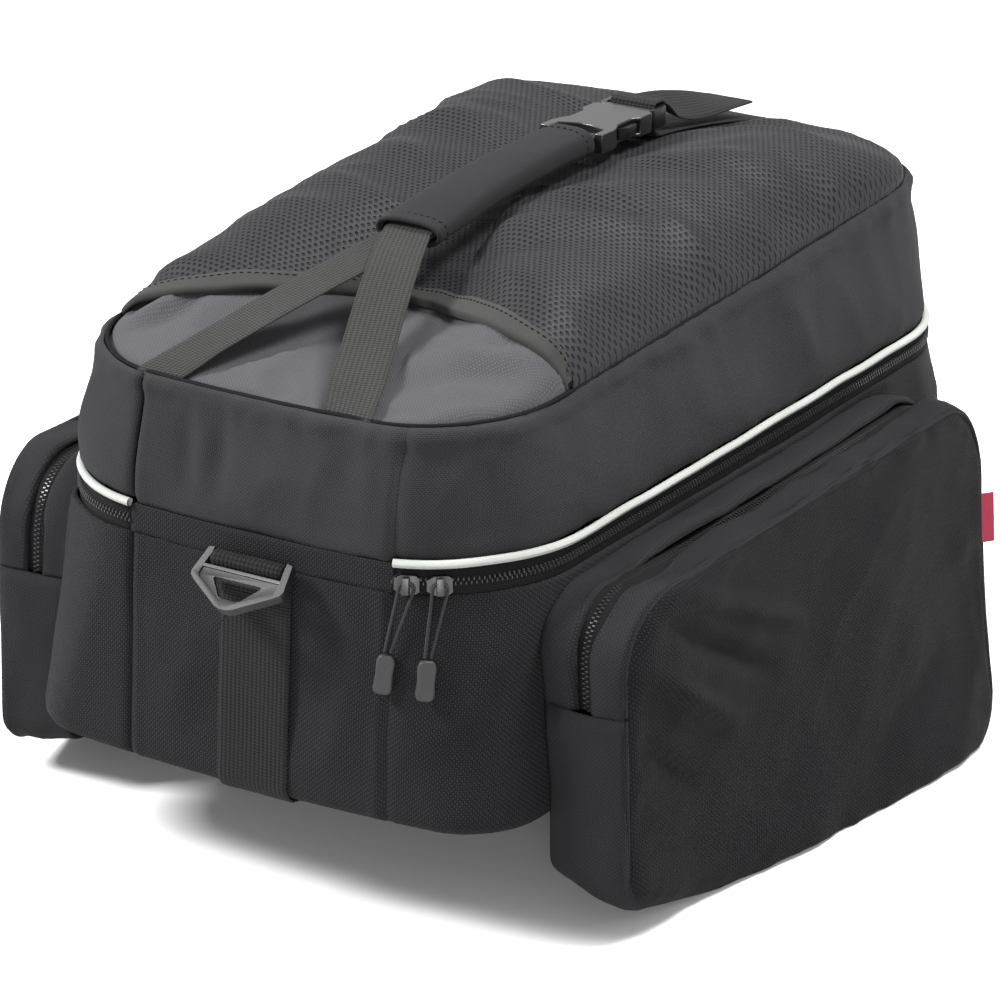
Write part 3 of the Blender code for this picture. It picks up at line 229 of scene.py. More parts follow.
# Name, place, target, size and power of each lamp
LAMPS = (
    ("key_light", (-1.7, -1.3, 1.9), (0, 0, 0.15), (0.7, 0.7), 220),
    ("top_light", (0.8, 0.6, 2.3), (0, 0, 0.2), (0.8, 0.8), 165),
    ("side_light", (2.1, 1.2, 1.0), (0.1, 0, 0.1), (0.8, 1.0), 18),
    ("front_light", (1.1, -2.0, 0.5), (0.1, 0, 0.1), (0.9, 0.9), 40),
)


def stand(name, data, place, target):
    """A camera or lamp at a place, facing its target."""
    made = bpy.data.objects.new(name, data)
    bpy.context.collection.objects.link(made)
    made.location = place
    made.rotation_euler = (Vector(target) - Vector(place)).to_track_quat("-Z", "Y").to_euler()
    return made


def add_camera():
    data = bpy.data.cameras.new("photo_camera")
    data.lens = CAMERA_LENS
    data.sensor_width = SENSOR
    data.clip_end = FAR_CLIP
    place = Vector(CAMERA_PLACE) + Vector(ORIGIN)
    target = Vector(CAMERA_TARGET) + Vector(ORIGIN)
    bpy.context.scene.camera = stand("photo_camera", data, place, target)


def add_floor():
    """A plain pale floor under the bag's lowest seam."""
    mesh = bpy.data.meshes.new("floor")
    low = CAD_BOX[0][2] - FLOOR_DROP
    corners = [(x, y, low) for x, y in ((-1, -1), (1, -1), (1, 1), (-1, 1))]
    mesh.from_pydata([(x * FLOOR_REACH, y * FLOOR_REACH, z) for x, y, z in corners], [], [(0, 1, 2, 3)])
    mesh.materials.append(Finish("pale_floor", FLOOR_PALE, FLOOR_ROUGHNESS).material)
    floor = bpy.data.objects.new("floor", mesh)
    bpy.context.collection.objects.link(floor)


def add_studio():
    world = bpy.data.worlds.new("studio")
    world.use_nodes = True
    background = world.node_tree.nodes["Background"]
    background.inputs["Color"].default_value = (1, 1, 1, 1)
    background.inputs["Strength"].default_value = SKY
    bpy.context.scene.world = world
    bpy.context.scene.view_settings.view_transform = "Standard"
    for name, place, target, size, power in LAMPS:
        data = bpy.data.lights.new(name, "AREA")
        data.shape = "RECTANGLE"
        data.size, data.size_y = size
        data.energy = power
        stand(name, data, place, target)


# Materials

class Finish:
    """A material being built: small helpers over its node tree."""

    def __init__(self, name, colour, roughness, coordinates="UV"):
        self.material = bpy.data.materials.new(name)
        self.material.use_nodes = True
        self.tree = self.material.node_tree
        self.shader = self.tree.nodes["Principled BSDF"]
        self.colour = colour
        self.set("Roughness", roughness)
        self.set("Base Color", (*colour, 1))
        self.place = self.tree.nodes.new("ShaderNodeTexCoord").outputs[coordinates]

    def set(self, socket, value):
        self.shader.inputs[socket].default_value = value

    def math(self, operation, *values):
        node = self.tree.nodes.new("ShaderNodeMath")
        node.operation = operation
        for socket, value in zip(node.inputs, values):
            if isinstance(value, (int, float)):
                socket.default_value = value
            else:
                self.tree.links.new(value, socket)
        return node.outputs[0]

    def times(self, a, b):
        return self.math("MULTIPLY", a, b)

    def plus(self, a, b):
        return self.math("ADD", a, b)

    def ripple(self, value, pitch):
        """Humps from 0 to 1, one for each pitch."""
        return self.math("ABSOLUTE", self.math("SINE", self.times(value, math.pi / pitch)))

    def uv(self):
        node = self.tree.nodes.new("ShaderNodeSeparateXYZ")
        self.tree.links.new(self.place, node.inputs[0])
        return node.outputs[0], node.outputs[1]

    def noise(self, scale, detail=3.0):
        node = self.tree.nodes.new("ShaderNodeTexNoise")
        node.inputs["Scale"].default_value = scale
        node.inputs["Detail"].default_value = detail
        source = self.tree.nodes.new("ShaderNodeTexCoord").outputs["Object"]
        self.tree.links.new(source, node.inputs["Vector"])
        return node.outputs["Fac"]

    def spread(self, value, low, high):
        node = self.tree.nodes.new("ShaderNodeMapRange")
        self.tree.links.new(value, node.inputs["Value"])
        node.inputs["From Min"].default_value = low
        node.inputs["From Max"].default_value = high
        return node.outputs["Result"]

    def blend(self, share, dark, light):
        """The colour goes from one multiple of itself to another."""
        node = self.tree.nodes.new("ShaderNodeMix")
        node.data_type = "RGBA"
        self.tree.links.new(share, node.inputs["Factor"])
        for socket, tint in (("A", dark), ("B", light)):
            node.inputs[socket].default_value = (*(channel * tint for channel in self.colour), 1)
        self.tree.links.new(node.outputs["Result"], self.shader.inputs["Base Color"])

    def bump(self, height, distance):
        node = self.tree.nodes.new("ShaderNodeBump")
        node.inputs["Distance"].default_value = distance
        node.inputs["Strength"].default_value = 1.0
        self.tree.links.new(height, node.inputs["Height"])
        self.tree.links.new(node.outputs["Normal"], self.shader.inputs["Normal"])

    def cloth(self, sheen):
        self.set("Sheen Weight", sheen)
        self.set("Specular IOR Level", CLOTH_SHINE)
        return self.material


CLOTH_SHINE = 0.05
WOVEN_SHEEN = 0.01
SOFT_SHEEN = 0.02
SHEEN_ROUGHNESS = 0.5
THREAD_POWER = 0.7
UNDER_THREAD = 0.4
WEAVE_SHADE_RANGE = (0.1, 0.8)
WEAVE_SHADE_SHARE = 0.85
WEAR = 0.3
WEAR_SCALE = 14.0


def woven(name, colour, pitch, depth, roughness, shade_contrast):
    """A plain weave: threads that pass over and under each other at the pitch.
    Its colour is painted shade in the gaps and painted highlight on the threads' crowns.
    """
    made = Finish(name, colour, roughness)
    u, v = made.uv()
    across = made.times(u, 1 / pitch)
    up = made.times(v, 1 / pitch)
    hump = made.math("POWER", made.times(made.ripple(across, 1), made.ripple(up, 1)), THREAD_POWER)
    cell = made.plus(made.math("FLOOR", across), made.math("FLOOR", up))
    over = made.math("PINGPONG", cell, 1.0)
    height = made.times(hump, made.plus(made.times(over, 1 - UNDER_THREAD), UNDER_THREAD))
    worn = made.times(made.noise(WEAR_SCALE), WEAR)
    share = made.plus(made.times(made.spread(height, *WEAVE_SHADE_RANGE), WEAVE_SHADE_SHARE), worn)
    # Painted shade and highlight: the colour follows the threads' height, darker in the gaps, lighter on
    # the crowns
    made.blend(share, 1 - shade_contrast, 1 + shade_contrast)
    made.bump(height, depth)
    made.set("Sheen Roughness", SHEEN_ROUGHNESS)
    return made.cloth(WOVEN_SHEEN)


MESH_PITCH = 0.0026
MESH_DEPTH = 0.0009
MESH_SHINE = 0.1
MESH_ROUGHNESS = 0.6
HOLE_SHARE = 0.85
HOLE_RANGE = (0.14, 0.32)


def meshwork(name, colour):
    """Knitted mesh: rows of long holes, each row set half a hole aside. The holes are painted dark as
    shade.
    """
    made = Finish(name, colour, MESH_ROUGHNESS)
    u, v = made.uv()
    row = made.times(v, 1 / MESH_PITCH)
    odd = made.math("PINGPONG", made.math("FLOOR", row), 1.0)
    along = made.plus(made.times(u, HOLE_SHARE / MESH_PITCH), made.times(odd, 0.5))
    dx = made.math("SUBTRACT", made.math("FRACT", along), 0.5)
    dy = made.math("SUBTRACT", made.math("FRACT", row), 0.5)
    far = made.math("SQRT", made.plus(made.times(dx, dx), made.times(dy, dy)))
    strand = made.spread(far, *HOLE_RANGE)
    worn = made.plus(made.times(made.noise(30.0), 0.5), 0.7)
    # Painted shade: the holes dark as the shade seen through them, the strands lighter
    made.blend(made.times(strand, worn), 0.15, 1.5)
    made.bump(strand, MESH_DEPTH)
    made.set("Specular IOR Level", MESH_SHINE)
    return made.material


RIB_PITCH = 0.0015
RIB_DEPTH = 0.0007
RIB_SHARE = 0.55
RIB_ROUGHNESS = 0.75


def webbing(name, colour):
    """Flat webbing: close ribs across it, crossed by fine lines along it.
    Its colour is painted shade between the ribs and painted highlight on them.
    """
    made = Finish(name, colour, RIB_ROUGHNESS)
    along, across = made.uv()
    rib = made.ripple(along, RIB_PITCH)
    line = made.ripple(across, 1.5 * RIB_PITCH)
    height = made.plus(made.times(rib, RIB_SHARE), made.times(line, 1 - RIB_SHARE))
    share = made.plus(made.times(height, 0.75), made.times(made.noise(25.0), WEAR))
    # Painted shade and highlight: the colour follows the ribs' height
    made.blend(share, 0.1, 1.8)
    made.bump(height, RIB_DEPTH)
    return made.cloth(SOFT_SHEEN)


GRAIN = 0.00004
GRAIN_SCALE = 900.0
SPECK_SCALE = 1300.0
SPECK = 0.00012


def moulded(name, colour, roughness, shine=0.3):
    """Moulded plastic or rubber with a fine grain and faint wear."""
    made = Finish(name, colour, roughness, "Object")
    made.blend(made.noise(40.0), 0.85, 1.15)
    made.bump(made.noise(GRAIN_SCALE, 2.0), GRAIN)
    made.set("Specular IOR Level", shine)
    return made.material


def smooth_cloth(name, colour, roughness, depth=SPECK):
    """Cloth whose weave is too fine to see: specks and faint patches."""
    made = Finish(name, colour, roughness, "Object")
    speck = made.noise(SPECK_SCALE, 2.0)
    made.blend(made.plus(made.times(speck, 0.5), made.times(made.noise(22.0), 0.5)), 0.7, 1.35)
    made.bump(speck, depth)
    return made.cloth(SOFT_SHEEN)


NYLON = (0.0092, 0.0092, 0.0103)
BALLISTIC = (0.0072, 0.0072, 0.0081)
# The pockets' faces: a darker copy of the ballistic nylon, painted shade on the faces
FACE_NYLON_SHADED = (0.0038, 0.0038, 0.0044)
# One grey cloth in two tones: the upright band's darker partly as painted shade, the top's lighter partly
# as painted light from above
BAND_GREY_PARTLY_SHADED = (0.0142, 0.0142, 0.0154)
TOP_GREY_PARTLY_LIT = (0.0335, 0.0335, 0.0361)
MESH_GREY = (0.0074, 0.0074, 0.0085)
BLACK = (0.005, 0.005, 0.0055)
BINDING_GREY = (0.0175, 0.0178, 0.0170)
TEETH_GREY = (0.014, 0.014, 0.015)
PALE = (0.20, 0.207, 0.195)
# Thread colour, also used for the painted shadow line in the top seam's groove
THREAD_AND_SEAM_SHADOW_BLACK = (0.002, 0.002, 0.003)
SLEEVE_GREY = (0.0066, 0.0066, 0.0073)
OLIVE = (0.0128, 0.0128, 0.0121)
STRAP_BLACK = (0.0058, 0.0058, 0.0059)
PRONG_BLACK = (0.0025, 0.0025, 0.003)
SLIDER_BLACK = (0.004, 0.004, 0.0045)
PLASTIC_BLACK = (0.006, 0.006, 0.0065)
RING_GREY = (0.0062, 0.0062, 0.007)
RUBBER_GREY = (0.011, 0.011, 0.012)
CORD_GREY = (0.016, 0.016, 0.017)
CRIMSON = (0.135, 0.016, 0.028)

# Weaves: name, colour, pitch, depth, roughness and the contrast of their painted thread shade and
# highlight.
# Others: name, colour and roughness, then the shine of what is moulded, or the depth of smooth cloth's
# specks.
FINISHES = {
    "ballistic": woven("ballistic_nylon", BALLISTIC, 0.00115, 0.0004, 0.7, 0.75),
    # face: the ballistic weave darkened as painted shade
    "face": woven("pocket_face_nylon_shaded", FACE_NYLON_SHADED, 0.00115, 0.0004, 0.7, 0.75),
    "gusset": woven("gusset_cloth", NYLON, 0.0009, 0.0002, 0.8, 0.5),
    # band partly painted shade, top partly painted light from above
    "band": woven("lid_band_cloth", BAND_GREY_PARTLY_SHADED, 0.0009, 0.0002, 0.85, 0.4),
    "top": woven("lid_top_cloth", TOP_GREY_PARTLY_LIT, 0.0009, 0.0002, 0.85, 0.3),
    "mesh": meshwork("pocket_mesh", MESH_GREY),
    "binding": smooth_cloth("edge_binding", BINDING_GREY, 0.8),
    "tape": woven("zip_tape_cloth", BLACK, 0.0007, 0.0002, 0.8, 0.5),
    "teeth": moulded("zip_teeth", TEETH_GREY, 0.38),
    "piping": smooth_cloth("pale_piping", PALE, 0.5, 0.00005),
    # thread, also the painted shadow line along the top seam
    "stitch": moulded("thread", THREAD_AND_SEAM_SHADOW_BLACK, 0.7, 0.05),
    "neoprene": smooth_cloth("sleeve_neoprene", SLEEVE_GREY, 0.8),
    "olive": webbing("olive_webbing", OLIVE),
    "dark": webbing("dark_webbing", STRAP_BLACK),
    "prongs": moulded("black_prongs", PRONG_BLACK, 0.3, 0.3),
    "slider": moulded("black_slider", SLIDER_BLACK, 0.35, 0.4),
    "plastic": moulded("black_plastic_gloss", PLASTIC_BLACK, 0.3, 0.5),
    "ring": moulded("ring_plastic", RING_GREY, 0.42, 0.25),
    "rubber": moulded("pull_rubber", RUBBER_GREY, 0.6),
    "cord": smooth_cloth("pull_cord_braid", CORD_GREY, 0.8),
    "crimson": smooth_cloth("crimson_cloth", CRIMSON, 0.7),
}


# Meshes from grids of points

def add_piece(name, mesh, finish, body="bag", smooth=True):
    mesh.materials.append(FINISHES[finish])
    if smooth:
        mesh.shade_smooth()
    made = bpy.data.objects.new(name, mesh)
    bpy.context.collection.objects.link(made)
    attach(made, body)
    return made


def metric(points):
    """Lengths along the rows and up the columns of a grid, for the weaves."""
    steps = np.linalg.norm(np.diff(points, axis=1), axis=2)
    along = np.concatenate([np.zeros((len(points), 1)), np.cumsum(steps, axis=1)], axis=1)
    rises = np.linalg.norm(np.diff(points, axis=0), axis=2)
    up = np.concatenate([np.zeros((1, points.shape[1])), np.cumsum(rises, axis=0)])
    middle = along[len(points) // 2]
    return np.stack([np.broadcast_to(middle, up.shape), up], axis=2)


def closes(points):
    """True where a grid's last column lies on its first."""
    return np.allclose(points[:, 0], points[:, -1], atol=1e-7)


def grid_normals(points):
    if closes(points):
        wide = np.concatenate([points[:, -2:-1], points, points[:, 1:2]], axis=1)
        du = wide[:, 2:] - wide[:, :-2]
    else:
        du = np.gradient(points, axis=1)
    normal = np.cross(du, np.gradient(points, axis=0))
    size = np.linalg.norm(normal, axis=2, keepdims=True)
    return normal / np.maximum(size, 1e-12)


def cell_corners(values):
    """The values at the four corners of each of a grid's cells."""
    return np.stack([values[:-1, :-1], values[:-1, 1:], values[1:, 1:], values[1:, :-1]], axis=2)


def grid_mesh(name, points, uv=None, keep=None):
    """A mesh of quads over a grid, sewn where its last column meets its first."""
    rows, columns = points.shape[:2]
    uv = metric(points) if uv is None else uv
    keep = np.ones((rows - 1, columns - 1), dtype=bool) if keep is None else keep
    index = np.arange(rows * columns).reshape(rows, columns)
    if closes(points):
        index[:, -1] = index[:, 0]
    mesh = bpy.data.meshes.new(name)
    places = (points + ORIGIN).reshape(-1, 3).tolist()
    mesh.from_pydata(places, [], cell_corners(index)[keep].tolist())
    layer = mesh.uv_layers.new(name="weave")
    layer.data.foreach_set("uv", cell_corners(uv)[keep].astype(np.float32).ravel())
    loose = bmesh.new()
    loose.from_mesh(mesh)
    bmesh.ops.delete(loose, geom=[v for v in loose.verts if not v.link_faces], context="VERTS")
    loose.to_mesh(mesh)
    loose.free()
    return mesh


def add_cloth(name, points, finish, slot, thickness=0.0, **layout):
    """A piece over a grid of points, its thickness laid inwards."""
    piece = add_piece(name, grid_mesh(name, points, **layout), finish)
    if thickness:
        step = piece.modifiers.new("thickness", "SOLIDIFY")
        step.thickness = thickness
        step.offset = -1
        step.use_even_offset = False
    return piece


def bumps(points, scale, seed, height):
    """Smooth noise at every point of a grid."""
    flat = points.reshape(-1, 3) * scale + seed
    values = [noise.noise(Vector(point)) for point in flat]
    return np.array(values).reshape(points.shape[:2]) * height


FOLD_SHARPNESS = 3.0
FINE_FOLD_SCALE = 2.1
FINE_FOLD_SHARE = 0.35
FOLD_LEVEL = 0.6


def folds(points, stretch, seed, height):
    """Cloth's own sharp creases: ridges of noise that run along the least stretched direction."""
    flat = points.reshape(-1, 3) * np.array(stretch) + seed
    ridges = 0
    for scale, share in ((1, 1), (FINE_FOLD_SCALE, FINE_FOLD_SHARE)):
        values = np.array([1 - abs(noise.noise(Vector(point * scale))) for point in flat])
        ridges = ridges + share * values**FOLD_SHARPNESS
    return (ridges.reshape(points.shape[:2]) - FOLD_LEVEL) * height


# Unevenness of each cloth: scale, seed and height of its broad and of its fine lumps, and the
# stretch, seed and height of its folds
UNEVEN = {
    "tub": ((16.0, 3.0, 0.0016), (45.0, 7.0, 0.0005), ((13, 13, 7), 3.3, 0.0027)),
    "band": ((14.0, 11.0, 0.0030), (40.0, 2.0, 0.0010), ((15, 13, 7), 8.1, 0.0042)),
    "crown": ((18.0, 21.0, 0.0016), (60.0, 9.0, 0.0005), ((15, 11, 9), 5.7, 0.0042)),
    "mesh": ((20.0, 31.0, 0.0020), (55.0, 13.0, 0.0007), ((6, 19, 12), 2.9, 0.0046)),
    "gusset": ((22.0, 51.0, 0.0026), (60.0, 5.0, 0.0012), ((9, 15, 15), 6.1, 0.0036)),
    "face": ((13.0, 71.0, 0.0038), (38.0, 15.0, 0.0013), ((9, 7, 17), 4.4, 0.0020)),
}


# Puckers beside seams: scale, seed, height and how far they reach
PUCKERS = {
    "band_top": (70.0, 5.0, 0.0034, 0.14),
    "band_foot": (80.0, 6.0, 0.0012, 0.12),
    "crown": (75.0, 19.0, 0.0022, 0.09),
    "face": (90.0, 25.0, 0.0016, 0.10),
}


def pucker(points, seam, far):
    *bump, reach = PUCKERS[seam]
    return bumps(points, *bump) * fade(far, reach)


def uneven(points, cloth, side=0, folded=None):
    """Lumps and folds of a cloth. side tells the two pockets apart; folded are turned points."""
    (scale, seed, height), fine, (stretch, fold_seed, fold_height) = UNEVEN[cloth]
    lumps = bumps(points, scale, seed + side, height) + bumps(points, *fine)
    folded = points if folded is None else folded
    return lumps + folds(folded, stretch, fold_seed + side, fold_height)


def distances(points, a, b):
    """How far a grid's points are from a segment, and how far along it their nearest places."""
    way = b - a
    share = np.clip(((points - a) @ way) / (way @ way), 0, 1)
    return np.linalg.norm(points - (a + share[..., None] * way), axis=2), share


CREASE_TAPER = (0.12, 0.88)


def crease_field(points, creases):
    """Height from a table of creases: start, end, half width and height of each."""
    total = np.zeros(points.shape[:2])
    for start, end, width, height in creases:
        far, share = distances(points, np.array(start), np.array(end))
        total += height * np.sin(np.pi * mix(*CREASE_TAPER, share)) * fade(far, width)
    return total


def tube(name, centres, radius, sides=10):
    """A round tube along a line of points."""
    centres = np.array(centres, dtype=float)
    along = np.gradient(centres, axis=0)
    along /= np.linalg.norm(along, axis=1, keepdims=True)
    across = np.cross(along, (0.0, 0.0, 1.0))
    across /= np.linalg.norm(across, axis=1, keepdims=True)
    up = np.cross(across, along)
    turns = [2 * math.pi * k / sides for k in range(sides + 1)]
    rows = [centres + radius * (math.cos(turn) * across + math.sin(turn) * up) for turn in turns]
    return grid_mesh(name, np.array(rows))


def respaced(line, step):
    """Points along a line at even distances. Columns after the first three follow along."""
    line = np.array(line)
    lengths = np.linalg.norm(np.diff(line[:, :3], axis=0), axis=1)
    way = np.concatenate([[0], np.cumsum(lengths)])
    count = max(2, int(way[-1] / step))
    places = np.linspace(0, way[-1], count)
    return np.stack([np.interp(places, way, line[:, k]) for k in range(line.shape[1])], axis=1)


def smooth_line(knots, cells=8):
    """A smooth curve through given points."""
    knots = [np.array(knot, dtype=float) for knot in knots]
    ends = [knots[0] * 2 - knots[1]] + knots + [knots[-1] * 2 - knots[-2]]
    points = []
    for a, b, c, d in zip(ends, ends[1:], ends[2:], ends[3:]):
        for share in shares(cells)[:-1]:
            cubic = (b * 1.5 - a * 0.5 - c * 1.5 + d * 0.5) * share**3
            pull = a - b * 2.5 + c * 2 - d * 0.5
            points.append(b + (c - a) * (share / 2) + pull * share**2 + cubic)
    points.append(knots[-1])
    return np.array(points)


BLOCK_TOP = 0.62
BLOCK_QUADS = ((0, 3, 2, 1), (4, 5, 6, 7), (0, 1, 5, 4), (1, 2, 6, 5), (2, 3, 7, 6), (3, 0, 4, 7))


def unit(vector):
    return vector / np.linalg.norm(vector)


def add_blocks(name, line, outwards, pitch, size, finish, slot, lift=0.0, aside=0.0):
    """A row of small blocks, narrow at the top, along a line: stitches or a zip's teeth.

    outwards is the surface's normal at each point. The blocks stand aside to either hand by turns.
    """
    joined = respaced(np.concatenate([line, outwards], axis=1), pitch)
    corners, faces = [], []
    for k, (row, way) in enumerate(zip(joined, np.gradient(joined[:, :3], axis=0))):
        x = unit(way)
        z = unit(row[3:])
        y = unit(np.cross(z, x))
        place = row[:3] + z * lift + y * (aside if k % 2 else -aside)
        a, b, c = (length / 2 for length in size)
        faces += [tuple(len(corners) + corner for corner in quad) for quad in BLOCK_QUADS]
        for high, slim in ((-1, 1.0), (1, BLOCK_TOP)):
            for sx, sy in ((-1, -1), (1, -1), (1, 1), (-1, 1)):
                corners.append(place + x * (sx * a * slim) + y * (sy * b * slim) + z * (high * c) + ORIGIN)
    mesh = bpy.data.meshes.new(name)
    mesh.from_pydata([tuple(corner) for corner in corners], [], faces)
    return add_piece(name, mesh, finish, smooth=False)


# Plan rings of the body

def corner_run(seam, half_x, half_y, radius):
    run_x = half_x - radius
    straight = max(0, run_x - seam)
    turned = math.asin(min(1, max(0, seam - run_x) / radius))
    length = straight + radius * (math.pi / 2 - turned)
    points = []
    for share in shares(CORNER_CELLS):
        way = mix(SEAM_STEP, length, share)
        if way < straight:
            points.append((seam + way, half_y))
        else:
            turn = turned + (way - straight) / radius
            x = run_x + radius * math.sin(turn)
            points.append((x, half_y - radius * (1 - math.cos(turn))))
    return points


def plan_ring(half_x, half_y, radius):
    """A rounded rectangle from the left front seam, along the front, and round the body."""
    run_y = half_y - radius

    def end_run(left, right):
        points = []
        for share in shares(FRONT_CELLS):
            x = mix(-left, right, share)
            over = min(radius, max(0, abs(x) - half_x + radius))
            points.append((x, half_y - radius + math.sqrt(radius**2 - over**2)))
        return points

    front = end_run(FRONT_SEAM_LEFT, FRONT_SEAM_RIGHT)
    back = end_run(BACK_SEAM, BACK_SEAM)
    right = [(half_x, mix(-run_y, run_y, share)) for share in shares(SIDE_CELLS)[1:-1]]
    left = [(-x, -y) for x, y in right]
    front_right = corner_run(FRONT_SEAM_RIGHT, half_x, half_y, radius)
    front_left = corner_run(FRONT_SEAM_LEFT, half_x, half_y, radius)
    back_corner = corner_run(BACK_SEAM, half_x, half_y, radius)
    ring = (
        [(x, -y) for x, y in front + front_right]
        + right
        + back_corner[::-1]
        + [(-x, y) for x, y in back[1:-1]]
        + [(-x, y) for x, y in back_corner]
        + left
        + [(-x, -y) for x, y in front_left[::-1]]
    )
    return ring + ring[:1]


def bulged(x, y, half_x, half_y):
    u = x / half_x
    v = y / half_y
    out_x = SIDE_BULGE * (1 - min(1, v * v)) * abs(u) ** BULGE_POWER
    out_y = END_BULGE * (1 - min(1, u * u)) * abs(v) ** BULGE_POWER
    return x + math.copysign(out_x, x), y + math.copysign(out_y, y)


def body_size(height):
    share = max(0, height) / ZIP_HEIGHT
    flare = BASE_FLARE * (1 - share)
    below = max(0, BASE_EDGE - height)
    inset = BASE_EDGE - math.sqrt(max(0, BASE_EDGE**2 - below**2))
    radius = mix(BASE_CORNER, ZIP_CORNER, share) - inset
    return HALF_WIDTH + flare - inset, HALF_LENGTH + flare - inset, radius


def body_ring(height, inset=0.0):
    half_x, half_y, radius = body_size(height)
    plan = plan_ring(half_x - inset, half_y - inset, radius - inset)
    return [(*bulged(x, y, half_x, half_y), height) for x, y in plan]


def seam_height(y):
    return mix(LID_FRONT, LID_BACK, (y + HALF_LENGTH) / BODY_LENGTH)


def band_ring(share):
    inset = LID_DRAFT * share - LID_BELLY * math.sin(math.pi * share)
    half_x, half_y = HALF_WIDTH - inset, HALF_LENGTH - inset
    plan = plan_ring(half_x, half_y, mix(ZIP_CORNER, LID_CORNER, share))
    points = []
    for column, (x, y) in enumerate(plan):
        low = ZIP_HEIGHT + (PIPING / 2 if column >= ZIP_START else 0)
        points.append((*bulged(x, y, half_x, half_y), mix(low, seam_height(y), share)))
    return points


# The hollow that the slack cloth of the lid's left front makes
SLACK = 0.0065
SLACK_X = -0.103
SLACK_Y = -0.125
SLACK_WIDE = 0.026
SLACK_LONG = 0.045


def crown_height(x, y, share):
    edge = abs(y) / max(share, 1e-6)
    to_end = (edge / TOP_HALF_LENGTH - CROWN_END_SHARE) / (1 - CROWN_END_SHARE)
    end_power = CROWN_FRONT_POWER if y < 0 else CROWN_BACK_POWER
    power = mix(CROWN_SIDE_POWER, end_power, limited(to_end))
    dip = HANDLE_DIP * fade(x, HANDLE_DIP_WIDTH) * (1 - share**4)
    slack = SLACK * fade(x - SLACK_X, SLACK_WIDE) * fade(y - SLACK_Y, SLACK_LONG)
    return seam_height(y) + CROWN * (1 - share**power) - dip - slack * (1 - share**6)


def crown_ring(share):
    points = []
    for x, y in plan_ring(TOP_HALF_WIDTH, TOP_HALF_LENGTH, LID_CORNER):
        x, y = x * share, y * share
        z = crown_height(x, y, share)
        points.append((*bulged(x, y, TOP_HALF_WIDTH, TOP_HALF_LENGTH), z))
    return points


def crown_share(x, y):
    """How far out a place is on the crown, 0 in the middle and 1 at its seam."""
    x, y = abs(x), abs(y)
    a, b, r = TOP_HALF_WIDTH - LID_CORNER, TOP_HALF_LENGTH - LID_CORNER, LID_CORNER
    straight = max(x / TOP_HALF_WIDTH, y / TOP_HALF_LENGTH, 1e-6)
    square = x * x + y * y
    middle = a * x + b * y
    root = middle * middle - square * (a * a + b * b - r * r)
    if root > 0 and square > 1e-12:
        t = (middle + math.sqrt(root)) / square
        if x * t >= a and y * t >= b:
            return 1 / t
    return straight


def lid_top(x, y):
    """Height of the crown at a place, with the ends' bulge taken back."""
    u, v = x, y
    for _ in range(3):
        bx, by = bulged(u, v, TOP_HALF_WIDTH, TOP_HALF_LENGTH)
        u, v = u + x - bx, v + y - by
    return crown_height(u, v, min(1, crown_share(u, v)))


def binding_line(x):
    middle = -TOP_HALF_LENGTH + BINDING_MIDDLE
    arch = BINDING_ARCH * math.cos(math.pi * x / BINDING_WAVE)
    return middle + arch + BINDING_SKEW * x / TOP_HALF_WIDTH


# Creases: start, end, half width and height, counted from the base

TUB_CREASES = (
    ((0.083, -0.222, 0.055), (0.100, -0.216, 0.020), 0.006, 0.0019),
    ((0.095, -0.215, 0.100), (0.116, -0.198, 0.070), 0.008, 0.0022),
    ((0.080, -0.225, 0.020), (0.118, -0.200, 0.040), 0.007, -0.0019),
    ((-0.040, -0.236, 0.020), (-0.030, -0.235, 0.060), 0.010, 0.0013),
    ((0.045, -0.236, 0.015), (0.062, -0.233, 0.075), 0.010, 0.0016),
)
BAND_CREASES = (
    ((-0.038, -0.229, 0.178), (-0.034, -0.232, 0.140), 0.0050, -0.0052),
    ((-0.018, -0.229, 0.180), (-0.016, -0.232, 0.142), 0.0060, -0.0058),
    ((-0.027, -0.230, 0.178), (-0.025, -0.232, 0.146), 0.006, 0.0020),
    ((0.052, -0.226, 0.176), (0.050, -0.229, 0.148), 0.008, -0.0024),
    ((0.113, -0.155, 0.180), (0.122, -0.160, 0.140), 0.014, -0.0031),
    ((0.114, -0.095, 0.182), (0.120, -0.110, 0.146), 0.016, 0.0017),
    ((0.116, 0.030, 0.180), (0.121, 0.010, 0.150), 0.020, -0.0020),
    ((0.100, -0.195, 0.178), (0.109, -0.200, 0.140), 0.008, -0.0024),
)
TOP_CREASES = (
    ((0.020, -0.180, 0.203), (0.095, -0.150, 0.200), 0.010, 0.0051),
    ((0.040, -0.192, 0.195), (0.100, -0.165, 0.195), 0.006, -0.0040),
    ((0.060, -0.160, 0.210), (0.108, -0.140, 0.195), 0.005, -0.0038),
    ((-0.095, -0.185, 0.188), (-0.070, -0.150, 0.205), 0.006, -0.0051),
    ((-0.108, -0.165, 0.188), (-0.085, -0.140, 0.205), 0.005, -0.0044),
    ((-0.101, -0.178, 0.188), (-0.078, -0.146, 0.205), 0.004, 0.0034),
    ((-0.060, -0.205, 0.186), (-0.010, -0.190, 0.195), 0.009, 0.0027),
)
